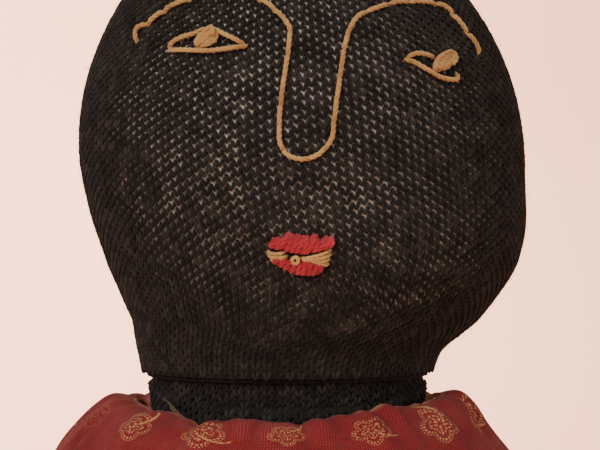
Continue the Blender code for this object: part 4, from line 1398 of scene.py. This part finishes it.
@dataclass
class Body:
    """The legless stuffed body: stitches over the neck, a plain knit below, filling and base."""

    neck_radius: float = 0.0349
    crease_depth: float = 0.0011
    dome_top: float = 0.014
    dome_foot: float = 0.0078
    shoulder_drop: float = 0.030
    waist_drop: float = 0.070
    waist_radius: float = 0.036
    rim_radius: float = 0.070
    foot: float = 0.0016
    seat_radius: float = 0.0231
    pocket_radius: float = 0.0424
    pocket_top: float = 0.0249
    neck_wales: int = 112

    def profile(self) -> tuple[np.ndarray, np.ndarray, np.ndarray]:
        """Returns (half width, half depth, height) from the base up onto the neck's dome.

        Returns:
            Half widths, half depths and heights.
        """
        rows = [(self.rim_radius, self.rim_radius, self.foot),
                (self.rim_radius + 0.002, self.rim_radius + 0.002, 0.008),
                (self.rim_radius - 0.001, self.rim_radius - 0.001, 0.022)]
        waist, shoulder = PIVOT.z - self.waist_drop, PIVOT.z - self.shoulder_drop
        for share in np.linspace(0.15, 1, 8):
            radius = self.rim_radius + (self.waist_radius - self.rim_radius) * share
            rows.append((radius, radius, 0.022 + (waist - 0.022) * share))
        rows += [(0.0308, 0.0375, 0.5 * (waist + shoulder)), (0.0300, 0.038, shoulder),
                 (0.0325, 0.0355, PIVOT.z - 0.019), (0.0343, 0.0348, PIVOT.z - 0.0125)]
        low, high = -math.asin(self.dome_foot / self.neck_radius), math.asin(self.dome_top / self.neck_radius)
        for angle in np.linspace(low, high, 14):
            radius = self.neck_radius * math.cos(angle)
            rows.append((radius, radius, PIVOT.z + self.neck_radius * math.sin(angle)))
        wide, deep, height = np.array(rows).T
        return wide, deep, height

    def build(self) -> None:
        """Makes the knit, the neck's stitches and the filling."""
        surface = Turned(*self.profile(), pinch=Pinch(PIVOT.z, self.neck_radius, self.crease_depth))
        neck_start = surface.length - 0.037
        neck = Stocking("neck_stocking", surface, self.neck_wales, neck_start, surface.length - 0.0008,
                        wale_pitch=0.0019, course_pitch=0.0020, seed=23)
        stand_in(neck.knit(), "doll_body", Slot.BLACK_KNIT)
        fuzz = Stocking("neck_stocking", surface, self.neck_wales, surface.length - 0.030,
                        surface.length - 0.018).fuzz(40000.0)
        stand_in(fuzz, "doll_body", Slot.BLACK_KNIT)
        count = 96
        turns = np.arange(count) / count
        steps = np.linspace(0, surface.length - self.dome_top - 0.0005, 110)
        rings = [surface.at(turns, np.full(count, a), 0.0007 * float(smooth((a - neck_start) / 0.004)))
                 for a in steps]
        points = np.concatenate(rings)
        body = mesh_object("body_stocking", points, lattice_faces(len(steps), count), BLACK_WOOL)
        wall = body.modifiers.new("wall", "SOLIDIFY")
        wall.thickness, wall.offset = 0.0010, -1
        stand_in(body, "doll_body", Slot.BLACK_KNIT, "body_knit")
        self.filling(surface, turns)

    def filling(self, surface: Turned, turns: np.ndarray) -> None:
        """Makes the filling with its pocket for the weight and its seat for the neck's roll.

        Args:
            surface: The body's outer surface.
            turns: The share of a turn for each point of a ring.
        """
        rings = []
        for radius, height in ((0.5 * self.pocket_radius, self.pocket_top),
                               (self.pocket_radius, self.pocket_top),
                               (self.pocket_radius, 0.0045)):
            rings.append(np.stack([radius * np.cos(TURN * turns), radius * np.sin(TURN * turns),
                                   np.full(len(turns), height)], axis=-1))
        for along in np.linspace(0.003, surface.length - 0.006, 90):
            rings.append(surface.at(turns, np.full(len(turns), along), 0.0016))
        rim = math.asin(0.008 / self.seat_radius)
        for angle in np.linspace(rim, -0.47 * math.pi, 9):
            radius = self.seat_radius * math.cos(angle)
            rings.append(np.stack([radius * np.cos(TURN * turns), radius * np.sin(TURN * turns),
                                   np.full(len(turns), PIVOT.z + self.seat_radius * math.sin(angle))],
                                  axis=-1))
        made = turned_solid("body_filling", rings, FILLING)
        stand_in(made, "doll_body", Slot.CREAM_STUFFING, "body_stuffing")


# --- The dress ---


@dataclass
class Dress:
    """The calico dress: a front and a back gathered onto a neckline, with an armhole at each side."""

    collar_half_width: float = 0.0380
    collar_radius: float = 0.0407
    collar_drop: float = 0.0072
    collar_slant: float = 0.075
    yoke_half_width: float = 0.060
    yoke_half_depth: float = 0.046
    yoke_drop: float = 0.030
    waist: float = 0.044
    waist_drop: float = 0.070
    hem_radius: float = 0.088
    hem_height: float = 0.004
    armhole_radius: float = 0.0236
    left_puff_at: float = 0.0415
    left_puff: float = 0.0018
    right_puff_at: float = 0.0435
    right_puff: float = 0.0010
    drawn_in: float = 0.0032
    thickness: float = 0.0008
    columns: int = 220
    rows: int = 230

    def profile(self) -> tuple[np.ndarray, ...]:
        """Returns half widths, half depths, heights and the neckline's slant down the dress.

        Returns:
            Distances down the cloth, with the half widths, half depths, heights and slants there.
        """
        yoke = [(0, 0, 0, 1), (0.18, 0.35, -0.01, 1), (0.38, 0.6, 0.06, 0.8), (0.63, 0.8, 0.25, 0.5),
                (0.85, 0.93, 0.51, 0.25), (0.97, 0.98, 0.76, 0.1), (1, 1, 1, 0)]
        rows = [(self.collar_half_width + wide * (self.yoke_half_width - self.collar_half_width),
                 self.collar_radius + deep * (self.yoke_half_depth - self.collar_radius),
                 -self.collar_drop - drop * (self.yoke_drop - self.collar_drop), slant)
                for wide, deep, drop, slant in yoke]
        for share in (0.3, 0.65, 1):
            narrow = float(smooth(share))
            rows.append((self.yoke_half_width + narrow * (self.waist - self.yoke_half_width),
                         self.yoke_half_depth + narrow * (self.waist - self.yoke_half_depth),
                         -self.yoke_drop - share * (self.waist_drop - self.yoke_drop), 0))
        for share in (0.1, 0.24, 0.42, 0.62, 0.81, 1):
            radius = self.waist + float(through([(0, 0), (0.1, 0.04), (0.24, 0.18), (1, 1)], share)) * (
                self.hem_radius - self.waist)
            fall = self.hem_height - PIVOT.z + self.waist_drop
            rows.append((radius, radius, -self.waist_drop + share * fall, 0))
        wide, deep, drop, slant = np.array(rows).T
        run = np.concatenate([[0], np.cumsum(np.hypot(np.diff(wide), np.diff(drop)))])
        at = np.linspace(0, run[-1], 400)
        return (at, *(through(list(zip(run, v)), at) for v in (wide, deep, drop, slant)))

    def gathers(self, angle: np.ndarray, down: np.ndarray, front: bool) -> np.ndarray:
        """Returns how far the cloth stands off its plain form, from gathers, creases and skirt folds.

        Args:
            angle: Angles round the panel.
            down: Distances down the cloth.
            front: Whether it is the front.

        Returns:
            Distances off the plain form.
        """
        phase = 0.7 if front else 2.9
        wander = 0.5 * np.sin(3 * angle + phase) + 0.35 * np.sin(7 * angle - phase)
        top = np.exp(-((down - 0.004) / 0.014) ** 2)
        pleats = (0.00075 * np.sin(29 * angle + 2.2 * wander)
                  + 0.00045 * np.sin(47 * angle + 3 * wander + phase))
        creases = (0.0011 * np.sin(13 * angle + 2 * wander + 24 * down)
                   * np.exp(-((down - 0.030) / 0.024) ** 2))
        creases = creases * (1 - 0.85 * smooth((np.abs(np.cos(angle)) - 0.55) / 0.25))
        skirt = smooth((down - 0.075) / 0.12)
        folds = (0.0026 * np.sin(15 * angle + 1.6 * wander + 3 * down)
                 + 0.0011 * np.sin(26 * angle + 2 * wander - 5 * down + phase))
        return pleats * top + creases + folds * skirt

    def edge(self, angle: np.ndarray, front: bool) -> np.ndarray:
        """Returns how far the neckline's edge wanders up or down.

        Args:
            angle: Angles round the panel.
            front: Whether it is the front.

        Returns:
            How far the edge rises at each angle.
        """
        if not front:
            side = np.minimum(angle, math.pi - angle)
            wave = 0.0006 * np.sin(17 * angle + 1) + 0.0004 * np.sin(31 * angle)
            return (wave - 0.0030 * np.exp(-((side - 0.45) / 0.28) ** 2)) * smooth(side / 0.2)
        across = np.cos(angle)
        sag = through([(-1, 0.0008), (-0.9, 0.0003), (-0.72, 0.0006), (-0.6, -0.0004), (-0.53, -0.0017),
                       (-0.42, -0.0004), (-0.25, 0.0009), (-0.1, 0.0003), (0.03, -0.0001), (0.16, 0.0006),
                       (0.32, 0.0016), (0.45, 0.0019), (0.58, 0.0030), (0.7, 0.0022), (0.86, 0.0016),
                       (1, 0.0010)],
                      across)
        side = np.minimum(angle, math.pi - angle)
        return (sag + 0.00025 * np.sin(41 * angle)) * smooth(side / 0.2)

    def panel(self, name: str, front: bool) -> bpy.types.Object:
        """Makes one half of the dress.

        Args:
            name: The piece's name.
            front: Whether it is the front.

        Returns:
            The panel, with its wall.
        """
        at, wide, deep, drop, slant = self.profile()
        side = -1 if front else 1
        angle = np.linspace(0, math.pi, self.columns)
        down = np.concatenate([np.linspace(0, 0.05, 80), np.linspace(0.05, at[-1], self.rows - 79)[1:]])
        a, d = np.meshgrid(angle, down)
        w, p, h, s = (np.interp(d, at, v) for v in (wide, deep, drop, slant))
        y = side * p * np.sin(a)
        tip = self.collar_slant * s * side * np.sin(a) * p
        points = np.stack([w * np.cos(a), y, PIVOT.z + h + tip], axis=-1)
        ease = np.minimum(1, np.minimum(a, math.pi - a) / 0.10)
        tilt = np.full_like(a, 0.4 / self.collar_radius) * np.exp(-d / 0.02)
        out = np.stack([np.cos(a) / w, side * np.sin(a) / p, tilt], axis=-1)
        out /= np.linalg.norm(out, axis=-1, keepdims=True)
        points += out * (self.gathers(a, d, front) * ease)[..., None]
        points[..., 2] += self.edge(a, front) * np.exp(-(d / 0.009) ** 2)
        points = self.shoulder_puff(points, d)
        points, kept = self.armholes(points)
        uv = np.stack([(a - math.pi / 2) * (0.055 + 0.5 * (w - 0.055)), -d], axis=-1)
        faces = [f for f in lattice_faces(len(down), self.columns, loop=False)
                 if all(kept.reshape(-1)[i] for i in f)]
        if not front:
            faces = [f[::-1] for f in faces]
        made = mesh_object(name, points.reshape(-1, 3), [f[::-1] for f in faces] if front else faces,
                           CalicoFinish(), uv.reshape(-1, 2))
        rub = np.exp(-(d / 0.0016) ** 2) * 0.9 + 0.35 * np.exp(-((d - at[-1]) / 0.002) ** 2)
        wear = made.data.attributes.new("wear", "FLOAT", "POINT")
        wear.data.foreach_set("value", rub.astype(np.float32).ravel())
        self.drop_loose(made)
        wall = made.modifiers.new("wall", "SOLIDIFY")
        wall.thickness, wall.offset = self.thickness, -1
        return made

    def shoulder_puff(self, points: np.ndarray, down: np.ndarray) -> np.ndarray:
        """Raises the cloth beside the neck, and draws it in over the doll's left shoulder.

        Args:
            points: The panel's grid.
            down: Distances down the cloth.

        Returns:
            The grid, moved.
        """
        near = np.exp(-(points[..., 1] / 0.030) ** 2 - ((down - 0.004) / 0.009) ** 2)
        left = np.exp(-((points[..., 0] - self.left_puff_at) / 0.007) ** 2)
        right = np.exp(-((points[..., 0] + self.right_puff_at) / 0.006) ** 2)
        slope = np.exp(-((points[..., 2] - PIVOT.z + 0.016) / 0.008) ** 2)
        points[..., 2] += near * (self.left_puff * left + self.right_puff * right)
        points[..., 0] -= self.drawn_in * slope * smooth((points[..., 0] - 0.040) / 0.012)
        return points

    def armholes(self, points: np.ndarray) -> tuple[np.ndarray, np.ndarray]:
        """Cuts a round hole at each shoulder, with the cloth's edge drawn onto the circle.

        Args:
            points: The panel's grid.

        Returns:
            The grid with its edge moved, and which corners are kept.
        """
        kept = np.ones(points.shape[:2], bool)
        for side in Side:
            centre = np.array([side.value * SHOULDER.x, SHOULDER.y, SHOULDER.z])
            away = points - centre
            distance = np.linalg.norm(away, axis=-1)
            near = (distance < self.armhole_radius) & (distance > self.armhole_radius - 0.0016)
            points[near] = centre + away[near] / distance[near, None] * self.armhole_radius
            kept &= distance > self.armhole_radius - 0.0016
        return points, kept

    def drop_loose(self, made: bpy.types.Object) -> None:
        """Removes corners that no face uses.

        Args:
            made: The panel.
        """
        shape = bmesh.new()
        shape.from_mesh(made.data)
        bmesh.ops.delete(shape, geom=[v for v in shape.verts if not v.link_faces], context="VERTS")
        shape.to_mesh(made.data)
        shape.free()
        made.data.shade_smooth()

    def build(self) -> None:
        """Makes both halves."""
        for name, node, front in (("dress_front_cloth", "dress_front", True),
                                  ("dress_back_cloth", "dress_back", False)):
            panel = stand_in(self.panel(name, front), "doll_body", Slot.RED_CALICO, node)


@dataclass
class Arm:
    """A stuffed knit arm with a mitten hand, in a puffed sleeve."""

    side: Side
    ball_radius: float = 0.020
    puff: float = 0.0024
    sleeve_radius: float = 0.0145
    cuff_radius: float = 0.0125
    cuff_at: float = 0.080
    frill: float = 0.006
    hangs_out: float = math.radians(17)
    arm_radius: float = 0.0105
    arm_top: float = 0.009
    length: float = 0.128
    hand_half_width: float = 0.0125
    hand_half_thickness: float = 0.0085

    @property
    def label(self) -> str:
        """The arm's name for its nodes and body."""
        return "right" if self.side is Side.RIGHT else "left"

    def place(self) -> Matrix:
        """Returns the matrix from the arm's own axes, hanging from its pivot, into the doll's frame."""
        at = Vector((self.side.value * SHOULDER.x, SHOULDER.y, SHOULDER.z))
        return Matrix.Translation(at) @ Matrix.Rotation(-self.side.value * self.hangs_out, 4, "Y")

    def hand(self) -> Turned:
        """Returns the arm and hand's surface, from the top down to the tip.

        Returns:
            The surface.
        """
        wrist, palm = self.cuff_at + self.frill, self.length - self.hand_half_width
        turn = np.linspace(0, math.pi / 2, 16)
        down = np.concatenate([[self.arm_top, wrist - 0.02, wrist - 0.004, 0.5 * (wrist + palm)],
                               palm + self.hand_half_width * np.sin(turn)])
        thick = np.concatenate([[self.arm_radius, self.arm_radius, self.arm_radius - 0.0006,
                                 0.5 * (self.arm_radius + self.hand_half_thickness)],
                                self.hand_half_thickness * np.cos(turn)])
        wide = np.concatenate([[self.arm_radius, self.arm_radius, self.arm_radius - 0.0004,
                                0.5 * (self.arm_radius + self.hand_half_width)],
                               self.hand_half_width * np.cos(turn)])
        return Turned(thick[::-1], wide[::-1], -down[::-1], place=self.place())

    def stuffed_arm(self) -> None:
        """Makes the knit and its filling."""
        surface = self.hand()
        end = surface.length - (self.cuff_at - 0.014 - self.arm_top)
        stocking = Stocking(f"{self.label}_arm_stocking", surface, 36, 0.0006, end, wale_pitch=0.0020,
                            course_pitch=0.0021, seed=31 + self.side.value)
        knit = stand_in(stocking.knit(), f"{self.label}_arm", Slot.BLACK_KNIT, f"{self.label}_arm_knit")
        count = 40
        turns = np.arange(count) / count
        rings = [surface.at(turns, np.full(count, a), 0.0010)
                 for a in np.linspace(0.0008, surface.length, 60)]
        filling = turned_solid(f"{self.label}_arm_filling", rings, FILLING)
        stand_in(filling, f"{self.label}_arm", Slot.CREAM_STUFFING, f"{self.label}_arm_stuffing")

    def sleeve(self) -> None:
        """Makes the puffed sleeve with its gathers and frill."""
        puff = self.ball_radius + self.puff
        ball = [(puff * math.cos(t), -puff * math.sin(t))
                for t in np.linspace(0.46 * math.pi, -0.285 * math.pi, 16)]
        profile = ball + [(self.sleeve_radius - 0.0007, 0.0200), (self.sleeve_radius - 0.0004, 0.026),
                          (self.sleeve_radius - 0.0003, 0.045), (self.sleeve_radius + 0.0003, 0.062),
                          (self.sleeve_radius - 0.0003, 0.071), (self.cuff_radius + 0.0003, 0.0788),
                          (self.cuff_radius, self.cuff_at), (self.cuff_radius + 0.0004, 0.0812),
                          (self.cuff_radius + 0.0022, self.cuff_at + self.frill)]
        radius, down = np.array(profile).T
        run = np.concatenate([[0], np.cumsum(np.hypot(np.diff(radius), np.diff(down)))])
        at = np.linspace(0, run[-1], 110)
        columns = 120
        angle = np.linspace(0, TURN, columns, endpoint=False)
        a, s = np.meshgrid(angle, at)
        r, d = np.interp(s, run, radius), np.interp(s, run, down)
        near_cuff = np.exp(-((d - self.cuff_at) / 0.010) ** 2)
        head = np.exp(-((d + 0.016) / 0.010) ** 2)
        soft = np.exp(-((d - 0.045) / 0.022) ** 2)
        r = r + 0.0007 * np.sin(22 * a + 0.6 * np.sin(5 * a)) * near_cuff
        r = r + 0.0005 * np.sin(18 * a + np.sin(4 * a)) * head * smooth(r / 0.012)
        r = r + (0.0006 * np.sin(3 * a + 90 * d) + 0.0004 * np.sin(7 * a - 140 * d)) * soft
        points = np.stack([r * np.cos(a), r * np.sin(a), -d], axis=-1).reshape(-1, 3)
        matrix = np.array(self.place())
        points = points @ matrix[:3, :3].T + matrix[:3, 3]
        uv = np.stack([a * self.sleeve_radius * 1.15, -s], axis=-1).reshape(-1, 2)
        faces = [f[::-1] for f in lattice_faces(len(at), columns)]
        made = mesh_object(f"{self.label}_sleeve_cloth", points, faces, CalicoFinish(), uv)
        rub = (np.exp(-((s - run[-1]) / 0.0012) ** 2)).astype(np.float32)
        made.data.attributes.new("wear", "FLOAT", "POINT").data.foreach_set("value", rub.ravel())
        wall = made.modifiers.new("wall", "SOLIDIFY")
        wall.thickness, wall.offset = 0.0008, -1
        stand_in(made, f"{self.label}_arm", Slot.RED_CALICO, f"{self.label}_sleeve")

    def cuff_thread(self) -> None:
        """Makes the thread that draws the sleeve in at the wrist."""
        matrix = self.place()
        lines = [[matrix @ Vector(((self.cuff_radius + 0.0009 + 0.00025 * math.sin(9 * t)) * math.cos(t),
                                   (self.cuff_radius + 0.0009 + 0.00025 * math.sin(9 * t)) * math.sin(t),
                                   -self.cuff_at + rise))
                  for t in np.linspace(0, TURN, 49)] for rise in (-0.0004, 0.0004)]
        made = grow(f"{self.label}_cuff_yarn", line_mesh("cuff", lines), yarn_tree(), TAN_WOOL,
                    yarn_radius=0.00035, twist_length=0.0025)
        stand_in(made, f"{self.label}_arm", Slot.TAN_YARN, f"{self.label}_cuff_thread")

    def build(self) -> None:
        """Makes the whole arm."""
        self.stuffed_arm()
        self.sleeve()
        self.cuff_thread()
        BLACK_WOOL.wear(frame["nodes"][f"{self.label}_shoulder_tab"])


@dataclass
class Threads:
    """The thread wound round the neck crease and the drawstring inside the neckline."""

    neck_radius: float = 0.03475
    drawstring_half_width: float = 0.0366
    drawstring_radius: float = 0.0384
    drawstring_drop: float = 0.0108
    slant: float = 0.075
    fray_radius: float = 0.0372

    def build(self) -> None:
        """Winds both, and lays the frayed edge."""
        wound = [PIVOT + Vector((self.neck_radius * math.cos(t), self.neck_radius * math.sin(t),
                                 0.0012 * (t / (3 * TURN) - 0.5)))
                 for t in np.linspace(0, 3 * TURN, 217)]
        made = grow("neck_winding", line_mesh("neck_winding", [wound]), yarn_tree(), BLACK_THREAD,
                    yarn_radius=0.00027, twist_length=0.0025)
        stand_in(made, "neck_tie", Slot.BLACK_THREAD, "neck_tie")
        string = [PIVOT + Vector((self.drawstring_half_width * math.cos(t),
                                  self.drawstring_radius * math.sin(t),
                                  self.slant * self.drawstring_radius * math.sin(t) - self.drawstring_drop))
                  for t in np.linspace(0, TURN, 97)]
        self.fray()
        made = grow("drawstring_yarn", line_mesh("drawstring", [string]), yarn_tree(), TAN_WOOL,
                    yarn_radius=0.00045)
        stand_in(made, "doll_body", Slot.TAN_YARN, "neckline_drawstring")

    def fray(self) -> None:
        """Lays the frayed edge of the cloth that shows above the neckline, on the doll's right."""
        lines = []
        for thread in range(4):
            slip = 0.0003 * thread
            places = [(-0.0298 + 2 * slip, -0.0050 - slip), (-0.0280, -0.0062 - slip),
                      (-0.0258, -0.0081 - slip), (-0.0232, -0.0099 - slip),
                      (-0.0205 + slip, -0.0112 - 0.5 * slip)]
            radius = self.fray_radius + 0.00012 * math.sin(2.6 * thread)
            lines.append([PIVOT + Vector((x, -math.sqrt(radius ** 2 - x * x), z)) for x, z in places])
        made = grow("neckline_fray", line_mesh("fray", lines), yarn_tree(), FRAY, yarn_radius=0.00014,
                    twist_length=0.0015)
        stand_in(made, "doll_body", Slot.RED_CALICO)


# --- Studio ---


@dataclass
class Studio:
    """A pale floor that sweeps up behind, with painted light on it, soft lights and the camera."""

    # Painted light on the backdrop: its colour runs from the first, shaded tint to the second, lit tint.
    painted_shade_tint: tuple[float, float, float] = (0.80, 0.46, 0.34)
    painted_light_tint: tuple[float, float, float] = (0.91, 0.55, 0.41)
    distance: float = 0.6
    view_across: float = 0.0031
    view_height: float = 0.31875
    lens: float = 144.0

    def sweep(self) -> None:
        """Makes the floor and the backdrop as one bent sheet, with painted light: lighter towards the upper
        left, darker towards the lower right.
        """
        radius, back, half = 0.6, 2.8, 4.0
        profile = [(-4.0, -0.0004), (back - radius, -0.0004)]
        profile += [(back - radius + radius * math.sin(t), radius - radius * math.cos(t) - 0.0004)
                    for t in np.linspace(0.1, math.pi / 2, 14)]
        profile.append((back, 3.5))
        points = [(x, y, z) for y, z in profile for x in (-half, half)]
        made = mesh_object("backdrop", points, lattice_faces(len(profile), 2, loop=False), None)
        paper = bpy.data.materials.new("backdrop_paper_painted_light")
        paper.use_nodes = True
        g = Graph(paper.node_tree)
        shader = paper.node_tree.nodes["Principled BSDF"]
        shader.inputs["Roughness"].default_value = 1.0
        shader.inputs["Specular IOR Level"].default_value = 0.0
        where = g.node("ShaderNodeSeparateXYZ", {0: g.node("ShaderNodeTexCoord").outputs["Object"]})
        # Painted light: the paper's colour runs from the shaded tint at the lower right to the lit tint at
        # the upper left.
        fade = g.math("ADD", g.math("MULTIPLY", where.outputs[0], -0.9), g.math("MULTIPLY", g.math(
            "SUBTRACT", where.outputs[2], 0.32), 0.9))
        colour = g.mix(g.band(fade, -0.7, 0.7), (*self.painted_shade_tint, 1), (*self.painted_light_tint, 1))
        g.feed(shader.inputs["Base Color"], colour)
        made.data.materials.append(paper)

    def lamp(self, name: str, at: tuple[float, float, float], aim: tuple[float, float, float], size: float,
             power: float, colour: tuple[float, float, float], spread: float = math.pi) -> None:
        """Adds one soft square light, pointed at a place.

        Args:
            name: The light's name.
            at: Where it stands.
            aim: Where it points.
            size: Its side.
            power: Its power in watts.
            colour: Its colour.
            spread: The angle of its beam.
        """
        light = bpy.data.lights.new(name, "AREA")
        light.shape, light.size, light.energy, light.color = "SQUARE", size, power, colour
        light.spread = spread
        made = bpy.data.objects.new(name, light)
        made.location = at
        made.rotation_euler = (Vector(aim) - Vector(at)).to_track_quat("-Z", "Y").to_euler()
        bpy.context.scene.collection.objects.link(made)

    def build(self) -> None:
        """Makes the floor, the lights and the camera."""
        self.sweep()
        self.lamp("key", (-0.75, -1.25, 1.05), (0, 0, 0.3), 0.9, 15.0, (1.0, 0.95, 0.9))
        self.lamp("fill", (1.1, -0.9, 0.5), (0, 0, 0.3), 1.2, 4.5, (1.0, 0.9, 0.84))
        self.lamp("back_wash", (-1.0, 1.2, 2.2), (-0.1, 2.8, 0.3), 1.4, 115.0, (1.0, 0.92, 0.86),
                  spread=math.radians(100))
        world = bpy.data.worlds.new("studio")
        world.use_nodes = True
        world.node_tree.nodes["Background"].inputs[0].default_value = (1.0, 0.88, 0.8, 1)
        world.node_tree.nodes["Background"].inputs[1].default_value = 0.35
        bpy.context.scene.world = world
        camera = bpy.data.cameras.new("camera")
        camera.lens, camera.sensor_width = self.lens, 36.0
        camera.clip_start, camera.clip_end = 0.01, 20.0
        made = bpy.data.objects.new("camera", camera)
        made.location = (self.view_across, -self.distance, self.view_height)
        made.rotation_euler = (math.pi / 2, 0, 0)
        bpy.context.scene.collection.objects.link(made)
        bpy.context.scene.camera = made


def dress_inner_nodes() -> None:
    """Gives the hidden nodes that stay their own finishes."""
    nodes = frame["nodes"]
    for name, finish in (("neck_plug", FILLING), ("base_cover", BLACK_WOOL), ("base_card", CARD),
                         ("base_weight", GRIT)):
        finish.wear(nodes[name])
        log.info("%s: finished as it is", name)


def main() -> None:
    """Builds the doll piece by piece."""
    logging.basicConfig(level=logging.INFO)
    shape = HeadShape()
    for label, part in (("head", Head(shape)), ("face", Face(shape)), ("body", Body()), ("dress", Dress()),
                        ("right arm", Arm(Side.RIGHT)), ("left arm", Arm(Side.LEFT)), ("threads", Threads()),
                        ("studio", Studio())):
        part.build()
        log.info("built the %s", label)
    dress_inner_nodes()


if __name__ == "__main__":
    main()
